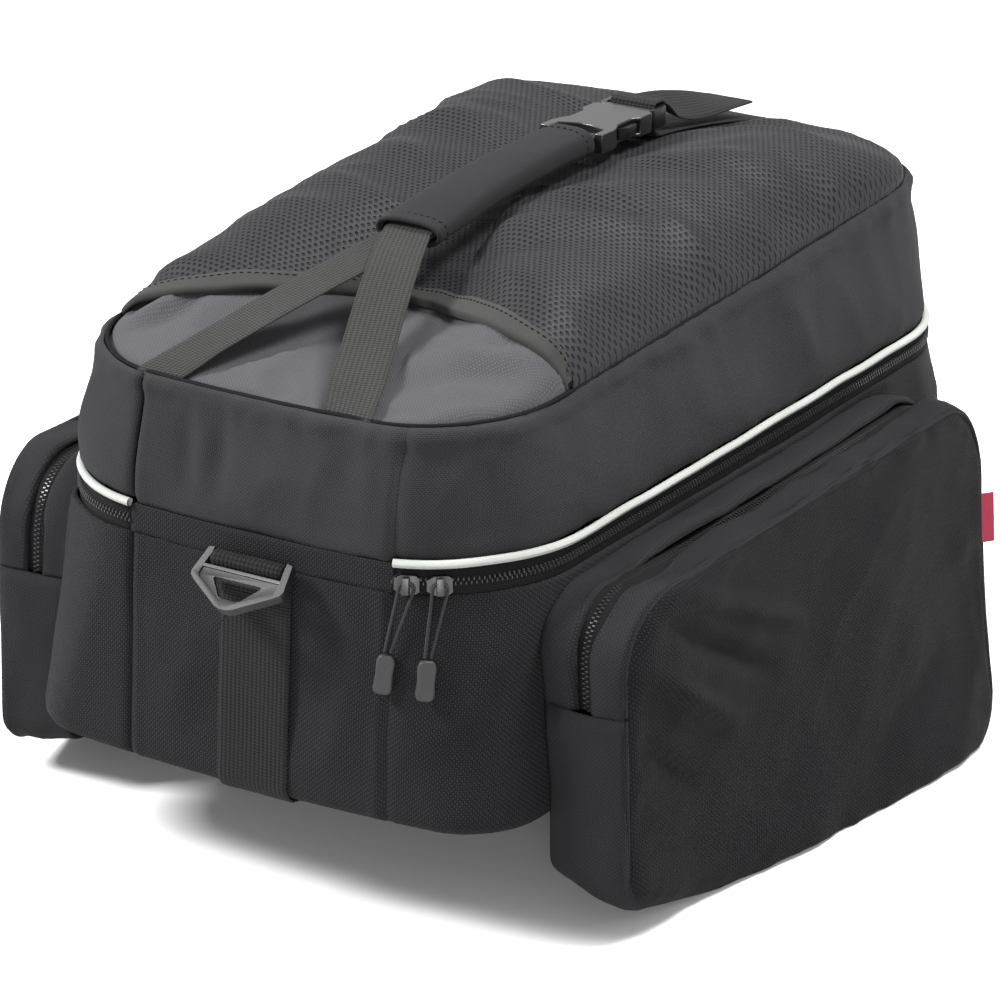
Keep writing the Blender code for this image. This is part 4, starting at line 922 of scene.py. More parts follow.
MESH_CREASES = (
    ((0.030, -0.070, 0.225), (0.100, -0.020, 0.232), 0.010, 0.0050),
    ((0.040, -0.090, 0.223), (0.105, -0.050, 0.228), 0.008, -0.0041),
    ((0.035, -0.020, 0.230), (0.105, 0.035, 0.236), 0.012, 0.0050),
    ((0.045, -0.045, 0.228), (0.108, 0.005, 0.233), 0.008, -0.0034),
    ((0.030, 0.040, 0.235), (0.105, 0.085, 0.238), 0.012, 0.0043),
    ((0.040, 0.095, 0.238), (0.110, 0.120, 0.238), 0.010, 0.0037),
    ((-0.090, -0.040, 0.228), (-0.030, -0.060, 0.228), 0.009, 0.0041),
    ((-0.100, 0.010, 0.232), (-0.035, -0.010, 0.232), 0.010, 0.0043),
    ((-0.100, 0.060, 0.235), (-0.030, 0.040, 0.235), 0.010, 0.0037),
)


# Columns of the body's rings where its upright seams run, and where the front ones overlap
UPRIGHT_SEAMS = (
    0,
    FRONT_CELLS + 0.5,
    RING_POINTS,
    2 * CORNER_CELLS + SIDE_CELLS + FRONT_CELLS + 0.5,
    2 * CORNER_CELLS + SIDE_CELLS + 2 * FRONT_CELLS - 0.5,
)
FRONT_LAPS = (1.5, FRONT_CELLS - 1.5)
SEAM_CELLS = 0.8
LAP_CELLS = 0.7
BODY_THICK = 0.0025
FLOOR_THICK = 0.002


def seam_grooves(depth, lap):
    """Over a ring's columns: a groove at each upright seam, and a raised lap beside the front ones."""
    places = np.arange(RING_POINTS + 1)
    total = np.zeros(RING_POINTS + 1)
    for columns, width, height in ((UPRIGHT_SEAMS, SEAM_CELLS, -depth), (FRONT_LAPS, LAP_CELLS, lap)):
        for column in columns:
            far = np.abs(places - column)
            total += height * fade(np.minimum(far, RING_POINTS - far), width)
    return total


TUB_SEAM = 0.0020
TUB_LAP = 0.0011
TUB_EDGE_LEVELS = (0.0, 0.1, 0.3, 0.6, 1.0)
TUB_SWELL_HEIGHT = 0.03
TUB_STILL_HEIGHT = 0.004


def dress_tub():
    levels = [BASE_EDGE * share for share in TUB_EDGE_LEVELS]
    levels += [mix(BASE_EDGE, TUB_TOP, share) for share in shares(44)[1:]]
    points = np.array([body_ring(level) for level in levels])
    rise = points[..., 2]
    swell = np.clip(rise / TUB_SWELL_HEIGHT, 0, 1)
    moved = swell * (uneven(points, "tub") + crease_field(points, TUB_CREASES))
    moved += seam_grooves(TUB_SEAM, TUB_LAP)
    moved[:, 0] = moved[:, -1] = -TUB_SEAM
    moved *= np.clip(rise / TUB_STILL_HEIGHT, 0, 1)
    points = points + grid_normals(points) * moved[..., None]
    under = points[0] * np.array([0.4, 0.4, 1])
    points = np.concatenate([under[None], points])
    piece = add_cloth("tub_cloth", points, "ballistic", "black_nylon", BODY_THICK)
    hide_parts("lower_tub")
    plug_floor()


def plug_floor():
    """The bag's inner floor, just above the base."""
    ring = np.array(body_ring(0.0))
    rows = [ring * np.array([s, s, 1]) + np.array([0, 0, 2 * GAP]) for s in (0.0, 0.3, 0.6, 0.9)]
    rows = np.array(rows)
    add_cloth("tub_floor", rows, "ballistic", "black_nylon", FLOOR_THICK, uv=rows[..., :2])


def dress_front_rim():
    """The front wall between the tape's ends, up to the lid's sewn front seam."""
    levels = [mix(TUB_TOP, ZIP_HEIGHT - GAP, share) for share in shares(6)]
    points = np.array([body_ring(level)[: ZIP_START + 1] for level in levels])
    add_cloth("front_rim", points, "ballistic", "black_nylon", BODY_THICK)


BAND_SEAM = 0.0018
BAND_LAP = 0.0010
ROLL_SHARE = 0.93
ROLL = 0.0012
ROLL_REACH = 0.05
TOP_TUCK = 0.0008
TOP_TUCK_REACH = 0.03
FOOT_TUCK = 0.0010
FOOT_TUCK_REACH = 0.05


def dress_band():
    points = np.array([band_ring(share) for share in shares(30)])
    share = np.linspace(0, 1, len(points))[:, None]
    moved = uneven(points, "band") * np.sin(np.pi * share) ** 0.5
    moved = moved + fade(share - ROLL_SHARE, ROLL_REACH) * ROLL
    moved = moved + crease_field(points, BAND_CREASES) + seam_grooves(BAND_SEAM, BAND_LAP)
    moved = moved - fade(1 - share, TOP_TUCK_REACH) * TOP_TUCK
    moved = moved - fade(share, FOOT_TUCK_REACH) * FOOT_TUCK
    moved = moved + np.abs(pucker(points, "band_top", ROLL_SHARE - share))
    moved = moved + pucker(points, "band_foot", share)
    points = points + grid_normals(points) * moved[..., None]
    points[..., 2] += fade(1 - share, ROLL_REACH) * ROLL
    piece = add_cloth("lid_band", points, "band", "grey_cloth", BODY_THICK)
    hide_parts("lid_shell")


CROWN_EDGE = 0.993
MIDDLE_SHARE = 0.0002
# The seam's painted shadow line: its place round the crown, its rise and its radius
SEAM_SHADOW_SHARE = 0.991
SEAM_SHADOW_RISE = 0.0012
SEAM_SHADOW_RADIUS = 0.0011
UNDER_MESH = 0.0012
CROWN_TUCK = 0.0042
CROWN_TUCK_REACH = 0.012
CROWN_STILL = 0.04
BARE_EDGE = 0.010
SEAM_STEPS = 0.004


def rows_to_middle(cells):
    """Shares of the crown's rings, from its edge almost to its middle, and the rings."""
    spread = [CROWN_EDGE * (1 - (1 - MIDDLE_SHARE) * share**1.25) for share in shares(cells)]
    return np.array(spread)[:, None], np.array([crown_ring(share) for share in spread])


def under_v_straps(points):
    """True where one of the handle's two front straps crosses above the crown."""
    under = np.zeros(points.shape[:2], dtype=bool)
    mouth = np.array([0, -HALF_LENGTH + SLEEVE_START])
    for x in (STRAP_FROM_RIGHT, -STRAP_FROM_LEFT):
        far, _ = distances(points[..., :2], np.array([x, -HALF_LENGTH]), mouth)
        under |= far < 0.7 * STRAP_WIDTH
    return under


def dress_crown():
    share, points = rows_to_middle(54)
    inwards = CROWN_EDGE - share
    moved = uneven(points, "crown") + pucker(points, "crown", inwards)
    moved = (moved + crease_field(points, TOP_CREASES)) * np.clip(inwards / CROWN_STILL, 0, 1)
    line = np.vectorize(binding_line)(points[..., 0])
    bare = np.clip((line - points[..., 1]) / BARE_EDGE, 0, 1)
    moved = moved * bare - UNDER_MESH * (1 - bare)
    moved = np.where(under_v_straps(points), np.minimum(moved, 0), moved)
    points = points + grid_normals(points) * moved[..., None]
    points[..., 2] -= fade(inwards, CROWN_TUCK_REACH) * CROWN_TUCK
    add_cloth("lid_top_cloth", points, "top", "grey_cloth", BODY_THICK, uv=points[..., :2])


def dress_top_seam_shadow():
    """A thin dark tube, painted shadow, where the top and the band are sewn together, in the groove
    between them.
    """
    ring = np.array(crown_ring(SEAM_SHADOW_SHARE))
    ring[:, 2] = [seam_height(y) + SEAM_SHADOW_RISE for y in ring[:, 1]]
    ring = np.concatenate([ring, ring[1:2]])
    # Painted shadow: a thin dark tube in the thread's colour along the seam's groove
    mesh = tube("top_seam_shadow_line", respaced(ring, SEAM_STEPS), SEAM_SHADOW_RADIUS, 8)
    add_piece("top_seam_shadow_line", mesh, "stitch")


MESH_RAISED = 0.0008
MESH_LOWEST = -0.0016
MESH_TUCK = 0.0030
MESH_UNDER_BINDING = 0.0085
MESH_STILL = 0.06
MESH_EDGE = 0.012
MESH_START = 0.002
MESH_RUN = 0.014
SLEEVE_SHADE = 0.019
SLEEVE_SHADE_START = 0.05


def dress_mesh_panel():
    share, points = rows_to_middle(70)
    lumps = uneven(points, "mesh") + MESH_RAISED + crease_field(points, MESH_CREASES)
    under = np.exp(-((points[..., 0] / SLEEVE_SHADE) ** 4)) * (points[..., 1] > SLEEVE_SHADE_START)
    moved = lumps * np.clip((1 - share) / MESH_STILL, 0, 1) * (1 - under)
    edge = np.clip((CROWN_EDGE - share) / MESH_EDGE, 0, 1)
    line = np.vectorize(binding_line)(points[..., 0])
    moved = moved * np.clip((points[..., 1] - line - MESH_START) / MESH_RUN, 0, 1)
    moved = np.maximum(moved, MESH_LOWEST) + MESH_LIFT * edge
    points = points + grid_normals(points) * moved[..., None]
    points[..., 2] -= (1 - edge) * MESH_TUCK
    keep = cell_corners(points[..., 1] > line - MESH_UNDER_BINDING).all(axis=2)
    piece = add_cloth("mesh_cloth", points, "mesh", "mesh_cloth", uv=points[..., :2], keep=keep)
    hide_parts("mesh_panel")


BINDING_END = 0.0012
BINDING_THICK = 0.0010
BINDING_WRINKLE = 0.0007
BINDING_WRINKLES = 60
BINDING_SUNK = 0.0020
BINDING_SUNK_SHARE = 0.93

# Stitches: pitch, and the length, width and height of each
BINDING_STITCH = (0.0034, (0.0023, 0.0008, 0.0008))
SLEEVE_STITCH = (0.0032, (0.0016, 0.0005, 0.0005))
STITCH_ROW = 3
STITCH_LIFT = 0.0009

# Across the binding, from the mesh to its folded front edge: place and height
BINDING_PROFILE = (
    (0.0, 0.0006),
    (0.02, 0.0022),
    (0.06, 0.0026),
    (0.25, 0.0027),
    (0.5, 0.0027),
    (0.75, 0.0029),
    (0.92, 0.0031),
    (0.98, 0.0028),
    (1.0, 0.0020),
    (0.99, 0.0002),
)


def dress_binding():
    """The tape over the mesh's front edge: its front edge is folded under and stands up a little."""
    reach = TOP_HALF_WIDTH - BINDING_END
    rows = []
    for across, height in BINDING_PROFILE:
        row = []
        for share in shares(140):
            x = mix(-reach, reach, share)
            slope = (binding_line(x + GAP) - binding_line(x - GAP)) / (2 * GAP)
            way = Vector((slope, -1)).normalized() * BINDING_SHOWN * across
            px = min(reach, max(-reach, x + way.x))
            y = binding_line(x) + way.y
            wave = BINDING_WRINKLE * noise.noise(Vector((x * BINDING_WRINKLES, across, 4)))
            at_end = max(0, abs(x) / reach - BINDING_SUNK_SHARE) / (1 - BINDING_SUNK_SHARE)
            sunk = BINDING_SUNK * at_end
            row.append((px, y, lid_top(px, y) + height + wave - sunk))
        rows.append(row)
    points = np.array(rows)
    away = -grid_normals(points)[STITCH_ROW, 2:-2]
    piece = add_cloth("binding_cloth", points, "binding", "grey_cloth", BINDING_THICK)
    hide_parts("mesh_binding")
    line = points[STITCH_ROW, 2:-2] + away * STITCH_LIFT
    add_blocks("binding_stitches", line, away, *BINDING_STITCH, "stitch", "black_nylon")


# Main zip and piping

PIPING_OUT = 0.0008
PIPING_WAVE = (30.0, 41.0, 0.0008)
PIPING_STEPS = 0.003
TAPE_THICK = 0.0008
TAPE_TUCK = 0.0006
TAPE_SUNK = 0.0010
TEETH_DOWN = 0.0052
TEETH_SUNK = 0.0002
TOOTH_PITCH = 0.00115
TOOTH_SIZE = (0.8 * TOOTH_PITCH, 0.0021, 0.0012)
TOOTH_LIFT = 0.0008
TOOTH_ASIDE = 0.0009


def zip_line(height, out=0.0):
    return np.array(body_ring(height, -out))[ZIP_START:-1]


def dress_piping():
    line = zip_line(ZIP_HEIGHT, PIPING_OUT)
    line[:, 2] += bumps(line[None], *PIPING_WAVE)[0]
    mesh = tube("piping_tube", respaced(line, PIPING_STEPS), PIPING / 2, 10)
    piece = add_piece("piping_tube", mesh, "piping")
    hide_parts("piping_main")


def tape_and_teeth(name, low, middle, high, outward, node):
    """A zip's tape from three lines of points, with two rows of interlocked teeth."""
    rows = [mix(low, middle, share) for share in shares(4)]
    rows += [mix(middle, high, share) for share in shares(4)[1:]]
    piece = add_cloth(name + "_tape", np.array(rows), "tape", "zip_tape", TAPE_THICK)
    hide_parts(node)
    add_blocks(
        name + "_teeth",
        middle,
        outward,
        TOOTH_PITCH,
        TOOTH_SIZE,
        "teeth",
        "zip_tape",
        lift=TOOTH_LIFT,
        aside=TOOTH_ASIDE,
    )


def dress_main_zip():
    low = zip_line(TUB_TOP - TAPE_TUCK, -TAPE_SUNK)
    high = zip_line(TAPE_TOP + TAPE_TUCK, -TAPE_SUNK)
    middle = zip_line(TAPE_TOP - TEETH_DOWN, -TEETH_SUNK)
    out = zip_line(TAPE_TOP, 0.01) - zip_line(TAPE_TOP)
    tape_and_teeth("main_zip", low, middle, high, out, "zip_tape_main")


# Side pockets

def corner_arc(corner, before, after, radius):
    to_before = (before - corner).normalized()
    to_after = (after - corner).normalized()
    half = to_before.angle(to_after) / 2
    reach = radius / math.tan(half)
    centre = corner + (to_before + to_after).normalized() * radius / math.sin(half)
    start = corner + to_before * reach - centre
    end = corner + to_after * reach - centre
    turn = start.angle_signed(end)
    return [centre + Matrix.Rotation(-turn * s, 2) @ start for s in shares(POCKET_ARC_CELLS)]


def pocket_loop(top, drop, radii):
    """A closed ring of (y, z) from the front zip end, over the top and back underneath."""
    slant = POCKET_SLANT * (POCKET_TOP + drop) / (POCKET_TOP + POCKET_DROP)
    corners = [
        Vector((POCKET_FRONT, top)),
        Vector((POCKET_BACK, top)),
        Vector((POCKET_BACK - slant, -drop)),
        Vector((POCKET_FRONT, -drop)),
    ]
    arcs = [corner_arc(corners[k], corners[k - 1], corners[(k + 1) % 4], radii[k]) for k in range(4)]

    def at_zip(a, b):
        return a.lerp(b, (POCKET_ZIP_END - a.y) / (b.y - a.y))

    def between(a, b, cells):
        return [a.lerp(b, share) for share in shares(cells)[1:-1]]

    front_end = at_zip(corners[3], corners[0])
    back_end = at_zip(corners[2], corners[1])
    points = [front_end]
    points += between(front_end, arcs[0][0], POCKET_SIDE_CELLS) + arcs[0]
    points += between(arcs[0][-1], arcs[1][0], POCKET_TOP_CELLS) + arcs[1]
    points += between(arcs[1][-1], back_end, POCKET_SIDE_CELLS) + [back_end]
    points += between(back_end, arcs[2][0], POCKET_SIDE_CELLS) + arcs[2]
    points += between(arcs[2][-1], arcs[3][0], POCKET_BOTTOM_CELLS) + arcs[3]
    points += between(arcs[3][-1], front_end, POCKET_SIDE_CELLS)
    return points + points[:1]


def face_rise(point):
    ahead = max(0, 1 - (point.x - POCKET_FRONT) / POCKET_RISE_LENGTH)
    low = max(0, 1 - (point.y + POCKET_DROP) / (POCKET_ZIP_END + POCKET_DROP))
    return Vector((point.x, point.y + POCKET_RISE * ahead**RISE_POWER * low))


def face_loop():
    return [face_rise(point) for point in pocket_loop(POCKET_TOP, POCKET_DROP, FACE_RADII)]


def back_loop():
    return pocket_loop(POCKET_INNER_TOP, POCKET_INNER_BOTTOM, BACK_RADII)


def centre_of(loop):
    return sum(loop, Vector((0, 0))) / len(loop)


def body_side(y, z):
    half_x, half_y, radius = body_size(min(ZIP_HEIGHT, max(z, BASE_EDGE)))
    over = max(0, abs(y) - (half_y - radius) - POCKET_LAG)
    x = half_x - radius + math.sqrt(max(0, radius**2 - over**2))
    return bulged(x, y, half_x, half_y)[0]


def face_out(y, z):
    still = SWING_STILL * POCKET_TOP
    low = limited((still - z) / (still + POCKET_DROP))
    along = limited((y - POCKET_FRONT) / (SWING_FULL * POCKET_LENGTH))
    swing = POCKET_SWING * low**SWING_POWER * along * along * (3 - 2 * along)
    ahead = max(0, 1 - (y - POCKET_FRONT) / (TUCK_SHARE * POCKET_LENGTH))
    tuck = POCKET_FRONT_TUCK * (1 - low) * ahead
    return HALF_WIDTH + POCKET_DEPTH + swing - tuck


def gusset_ring(share, sink=0.0):
    """A ring of the gusset, from the body's side (0) to the face seam (1), sunk inwards."""
    points = []
    back, face = back_loop(), face_loop()
    middle = centre_of(face)
    for b, f in zip(back, face):
        x_back = body_side(b.x, b.y) + POCKET_GAP
        x_face = face_out(f.x, f.y)
        place = b.lerp(f, share)
        place = place + (middle - place).normalized() * sink
        points.append((mix(x_back, x_face, share), place.x, place.y))
    return points


FACE_CREASES = (
    ((0.178, -0.175, 0.075), (0.184, -0.110, 0.030), 0.0048, 0.0062),
    ((0.178, -0.160, 0.092), (0.186, -0.080, 0.045), 0.0054, -0.0057),
    ((0.178, -0.140, 0.100), (0.186, -0.050, 0.060), 0.0048, 0.0046),
    ((0.178, -0.178, 0.040), (0.184, -0.140, 0.010), 0.0048, -0.0062),
    ((0.180, -0.178, 0.010), (0.186, -0.150, -0.020), 0.0041, 0.0051),
    ((0.182, -0.177, -0.010), (0.188, -0.130, -0.025), 0.0048, -0.0072),
    ((0.184, -0.100, 0.095), (0.186, -0.020, 0.085), 0.0054, 0.0036),
    ((0.190, 0.080, 0.080), (0.196, 0.120, 0.030), 0.0068, 0.0046),
    ((0.196, 0.070, 0.000), (0.202, 0.000, -0.025), 0.0082, -0.0046),
)


WELT = 0.0014
POCKET_THICK = 0.002
POCKET_BACK_THICK = 0.0015

# Shares of the gusset's depth where the zip's opening starts, and of its lip
ZIP_NEAR = 0.5 - POCKET_TAPE_WIDTH / 2 / POCKET_DEPTH + 0.02
ZIP_LIP = 0.025
ZIP_EDGE = 0.012
LIP_SINK = 0.0012
GUSSET_HALF = (0, 0.06, 0.14, 0.22, ZIP_NEAR - ZIP_LIP, ZIP_NEAR - ZIP_EDGE, ZIP_NEAR, 0.42)
GUSSET_BELLY = 0.0012
GUSSET_STILL = 0.08
FACE_ROLL = 0.0022
FACE_ROLL_REACH = 0.012
FACE_STILL = 0.05

# Lines of a pocket's zip: the low edge, the middle, the high edge and one outside the middle.
# Each has its share of the gusset's depth and how far it is sunk.
POCKET_ZIP_LINES = (
    (ZIP_NEAR - 0.02, 0.0022),
    (0.5, 0.0014),
    (1 - ZIP_NEAR + 0.02, 0.0022),
    (0.5, -0.01),
)

# The right pocket's face seen along its own slanted folds
FOLD_TURN = np.array([[1, 0, 0], [0, 0.8, -0.6], [0, 0.6, 0.8]])


def on_side(points, side):
    turned = points.copy()
    turned[..., 0] *= side
    return turned if side > 0 else turned[:, ::-1]


def pocket_zip_keep(rows, columns):
    """The gusset's cells, without those that the zip's tape closes."""
    keep = np.ones((len(rows) - 1, columns - 1), dtype=bool)
    for j, (a, b) in enumerate(zip(rows, rows[1:])):
        if ZIP_NEAR < (a + b) / 2 < 1 - ZIP_NEAR:
            keep[j, :POCKET_ZIP_COLUMNS] = False
    return keep


def pocket_gusset(side, word):
    spread = [*GUSSET_HALF, 0.5, *(1 - share for share in reversed(GUSSET_HALF))]
    rings = []
    for share in spread:
        flat = np.array(gusset_ring(share))
        if abs(abs(share - 0.5) - (0.5 - ZIP_NEAR)) < 1e-9:
            zip_part = slice(POCKET_ZIP_COLUMNS + 1)
            flat[zip_part] = gusset_ring(share, LIP_SINK)[zip_part]
        rings.append(flat)
    points = np.array(rings)
    share = np.array(spread)[:, None]
    under_zip = np.arange(points.shape[1]) > POCKET_ZIP_COLUMNS
    belly = np.sin(np.pi * share) * GUSSET_BELLY + under_zip * GUSSET_BELLY
    free = np.clip(np.minimum(share, 1 - share) / GUSSET_STILL, 0, 1)
    moved = (uneven(points, "gusset", side) + belly) * free
    points = points - grid_normals(points) * moved[..., None]
    points[..., 2] = np.maximum(points[..., 2], -POCKET_DROP + POCKET_THICK)
    keep = pocket_zip_keep(spread, points.shape[1])
    keep = keep if side > 0 else keep[:, ::-1]
    name = "pocket_gusset_" + word
    gusset = add_cloth(name, on_side(points, side), "gusset", "black_nylon", POCKET_THICK, keep=keep)
    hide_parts("pocket_" + word)


def pocket_face(side, word):
    face = face_loop()
    middle = centre_of(face)
    spread = [1 - (1 - MIDDLE_SHARE) * s**1.2 for s in shares(40)]
    rows = []
    for inner in spread:
        roll = FACE_ROLL * fade(1 - inner, FACE_ROLL_REACH)
        places = [middle.lerp(point, inner) for point in face]
        swell = POCKET_BELLY * (1 - inner * inner)
        rows.append([(face_out(y, z) + swell - roll, y, z) for y, z in places])
    points = np.array(rows)
    inwards = 1 - np.array(spread)[:, None]
    moved = uneven(points, "face", side, points @ FOLD_TURN)
    moved = (moved + crease_field(points, FACE_CREASES)) * np.clip(inwards / FACE_STILL, 0, 1)
    points[..., 0] += moved + pucker(points, "face", inwards)
    turned = on_side(points, side)
    name = "pocket_face_" + word
    add_cloth(name, turned, "face", "black_nylon", POCKET_THICK, uv=turned[..., 1:])


def pocket_back(side, word):
    back = back_loop()
    middle = centre_of(back)
    rows = []
    for inner in (0.02, 0.2, 0.5, 0.8, 1):
        ring = [middle.lerp(point, inner) for point in back]
        rows.append([(body_side(y, z) + POCKET_GAP, y, z) for y, z in ring])
    turned = on_side(np.array(rows), side)
    name = "pocket_back_" + word
    add_cloth(name, turned, "gusset", "black_nylon", POCKET_BACK_THICK, uv=turned[..., 1:])


def pocket_welt(side, word):
    """The raised seam round the pocket's face."""
    seam = np.array(gusset_ring(1.0))[:-1]
    seam = np.concatenate([seam, seam[:2]])
    seam[:, 0] *= side
    seam[:, 2] = np.maximum(seam[:, 2], -POCKET_DROP + WELT)
    mesh = tube("pocket_welt_" + word, respaced(seam, SEAM_STEPS), WELT, 8)
    add_piece("pocket_welt_" + word, mesh, "gusset")


def pocket_zip(side, word):
    lines = np.array([gusset_ring(*line)[: POCKET_ZIP_COLUMNS + 1] for line in POCKET_ZIP_LINES])
    low, middle, high, outer = on_side(lines, side)
    name = "pocket_zip_" + word
    tape_and_teeth(name + "_dressed", low, middle, high, outer - middle, name)


# Handle

# Powers that square off the sleeve's section, across and upwards
SLEEVE_SQUARE = (0.72, 0.85)


def sleeve_centre(share):
    y = -HALF_LENGTH + SLEEVE_START + SLEEVE_LENGTH * share
    z = seam_height(0) + SLEEVE_LIFT + SLEEVE_RISE * share
    return np.array([0, y, z + SLEEVE_BOW * math.sin(math.pi * share)])


def sleeve_row(share, inset=0.0):
    centre = sleeve_centre(share)
    half_x = (SLEEVE_WIDTH - SLEEVE_TAPER * share) / 2 - inset
    half_z = (SLEEVE_HEIGHT + SLEEVE_SWELL * share) / 2 - inset
    row = []
    for around in shares(48):
        c, s = math.cos(2 * math.pi * around), math.sin(2 * math.pi * around)
        x = math.copysign(abs(c) ** SLEEVE_SQUARE[0], c) * half_x
        z = math.copysign(abs(s) ** SLEEVE_SQUARE[1], s) * half_z
        row.append(centre + np.array([x, 0, z]))
    return row


# The sleeve's turned-in mouth: share along it, and how far the ring is drawn in
SLEEVE_MOUTH = ((0.02, 0.0024), (0.0, 0.0018), (-0.004, 0.0009), (0.0, 0.0), (0.012, 0.0))
SLEEVE_DENTS = (35.0, 61.0, 0.0006)
SLEEVE_SEAMS = (("front", 0.045), ("back", 0.955))
SLEEVE_SEAM_LIFT = 0.0001


def dress_sleeve():
    stations = [*SLEEVE_MOUTH, *((share, 0.0) for share in shares(44)[1:-1])]
    stations += [(1 - share, inset) for share, inset in reversed(SLEEVE_MOUTH)]
    points = np.array([sleeve_row(share, inset) for share, inset in stations])
    dents = bumps(points, *SLEEVE_DENTS)
    points[3:-3] -= (grid_normals(points) * dents[..., None])[3:-3]
    piece = add_cloth("sleeve_cloth", points, "neoprene", "sleeve_neoprene")
    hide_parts("handle_sleeve")
    for word, share in SLEEVE_SEAMS:
        ring = np.array(sleeve_row(share, -SLEEVE_SEAM_LIFT))
        away = ring - sleeve_centre(share)
        name = "sleeve_stitches_" + word
        add_blocks(name, ring, away, *SLEEVE_STITCH, "stitch", "sleeve_neoprene")


# Straps

def strap_clear(x, y):
    """The height that clears the lid, and the mesh or its binding where they lie on it."""
    start = binding_line(x) - BINDING_WIDTH - CLIMB_START
    return lid_top(x, y) + limited((y - start) / CLIMB_LENGTH) * UNDER_STRAP + GAP


def crosswise(centre, half, direction=(1, 0, 0)):
    step = half * np.array(direction)
    return np.concatenate([centre - step, centre + step])


def buckle_point(along, up):
    """A place in the buckle's own frame: along it towards the back, and up from its middle plane."""
    turned = Matrix.Rotation(BUCKLE_TILT, 3, "X") @ Vector((0, along, up))
    return sleeve_centre(1) + np.array([0, BUCKLE_START, 0]) + np.array(turned)


def v_strap_path(side, above):
    """From the lid's front seam up to the sleeve's mouth. above is its upper face over the centre."""
    x0 = STRAP_FROM_RIGHT if side > 0 else -STRAP_FROM_LEFT
    y0 = bulged(x0, -TOP_HALF_LENGTH, TOP_HALF_WIDTH, TOP_HALF_LENGTH)[1] + SEAM_REACH
    mouth = sleeve_centre(0) + np.array([0, 0, above])
    across = Vector((mouth[1] - y0, x0 - mouth[0], 0)).normalized()
    path = []
    for share in shares(28):
        centre = np.array([mix(x0, mouth[0], share), mix(y0, mouth[1], share), 0])
        turn = share**3 + max(0, 1 - 6 * share)
        direction = np.array(across.lerp(Vector((1, 0, 0)), turn).normalized())
        edges = [centre + direction * (STRAP_WIDTH / 2 * k) for k in (-1, -0.5, 0, 0.5, 1)]
        laid = max(strap_clear(p[0], max(p[1], y0)) for p in edges) + STRAP_THICK
        if share == 0:
            start = laid
        over = (above > 0) * (STRAP_THICK + CROSS_LIFT) * limited((share - 0.35) / 0.3)
        taut = mix(start, mouth[2], share) + STRAP_BOW * math.sin(math.pi * share)
        centre[2] = max(taut + over * min(1, 6 * (1 - share)), laid + over)
        path.append(crosswise(centre, STRAP_WIDTH / 2, direction))
    into_seam = np.array([0, -SEAM_REACH, -2 * SEAM_REACH] * 2)
    return [path[0] + into_seam] + path


def in_sleeve(above, last):
    stations = [share for share in shares(8)[1:] if share <= last]
    return [crosswise(sleeve_centre(s) + np.array([0, 0, above]), STRAP_WIDTH / 2) for s in stations]


def rear_strap_path():
    y0 = bulged(0, TOP_HALF_LENGTH, TOP_HALF_WIDTH, TOP_HALF_LENGTH)[1] - SEAM_REACH
    slot_back = FEMALE_LENGTH + GAP + SLOT_END
    top = MALE_HEIGHT / 2
    half = -STRAP_WIDTH / 2
    turn_y = buckle_point(slot_back, 0)[1] + SEAM_REACH
    path = []
    for share in shares(12):
        y = mix(y0, turn_y, share)
        z = max(strap_clear(k * half, min(y, y0)) for k in (-1, 0, 1)) + STRAP_THICK
        path.append(crosswise(np.array([0, y, z]), half))
    near = slot_back - 0.4 * TURN
    rear = FEMALE_LENGTH + GAP + MALE_LENGTH
    turns = [
        (near, -top),
        (near, top - TURN),
        (near + 0.5 * TURN, top + 0.6 * TURN),
        (near + 2 * TURN, top + TURN),
        (rear + 0.4 * TURN, top + 0.8 * TURN),
        (rear + 1.8 * TURN, top - 0.8 * TURN),
        (rear + 6 * TURN, 0.4 * top),
    ]
    path += [crosswise(buckle_point(along, up), half) for along, up in turns]
    end_y = TAIL_REACH * TOP_HALF_LENGTH
    end = np.array([0, end_y, seam_height(end_y) + TAIL_LIFT])
    start = (path[-1][:3] + path[-1][3:]) / 2
    for share in shares(10)[1:]:
        arch = np.array([0, 0, TAIL_ARCH * math.sin(math.pi * share)])
        row = crosswise(mix(start, end, share) + arch, half)
        roll = TAIL_ROLL * math.sin(math.pi * share**0.6)
        row[2] -= roll
        row[5] += 0.2 * roll
        path.append(row)
    return path


def front_wall(x, z):
    half_x, half_y, _ = body_size(z)
    return bulged(x, -half_y, half_x, half_y)[1]


def ring_axis(x):
    standoff = LAY_GAP + 2 * GAP + 2 * FRONT_STRAP_THICK + RING_THICK / 2
    return np.array([x, front_wall(FRONT_STRAP_SIDE, RING_HEIGHT) - standoff, RING_HEIGHT])


def front_strap_edge(x):
    """One edge of the front strap's outer face, from under the base to its folded end."""
    lift = LAY_GAP + FRONT_STRAP_THICK
    points = [(x, front_wall(x, BASE_EDGE) + FRONT_STRAP_UNDER, -lift)]
    centre = np.array([x, front_wall(x, BASE_EDGE) + BASE_EDGE, BASE_EDGE])
    for share in shares(8):
        turn = math.radians(-90 - 90 * share)
        points.append(centre + np.array([0, math.cos(turn), math.sin(turn)]) * (BASE_EDGE + lift))
    axis = ring_axis(x)
    for share in shares(20)[1:-2]:
        z = mix(BASE_EDGE, RING_HEIGHT, share)
        points.append((x, front_wall(x, z) - lift, z))
    z = axis[2] - LOOP_RISE
    points.append((x, front_wall(x, z) - lift, z))
    for degrees in LOOP_TURNS:
        turn = math.radians(degrees)
        loop = np.array([0, math.cos(turn), math.sin(turn)]) * (RING_BAR / 2 + LOOP_CLEAR)
        points.append(axis + loop)
    for down in LOOP_TAIL:
        z = axis[2] - down
        points.append((x, front_wall(x, z) - lift - GAP, z))
    return np.array(points)


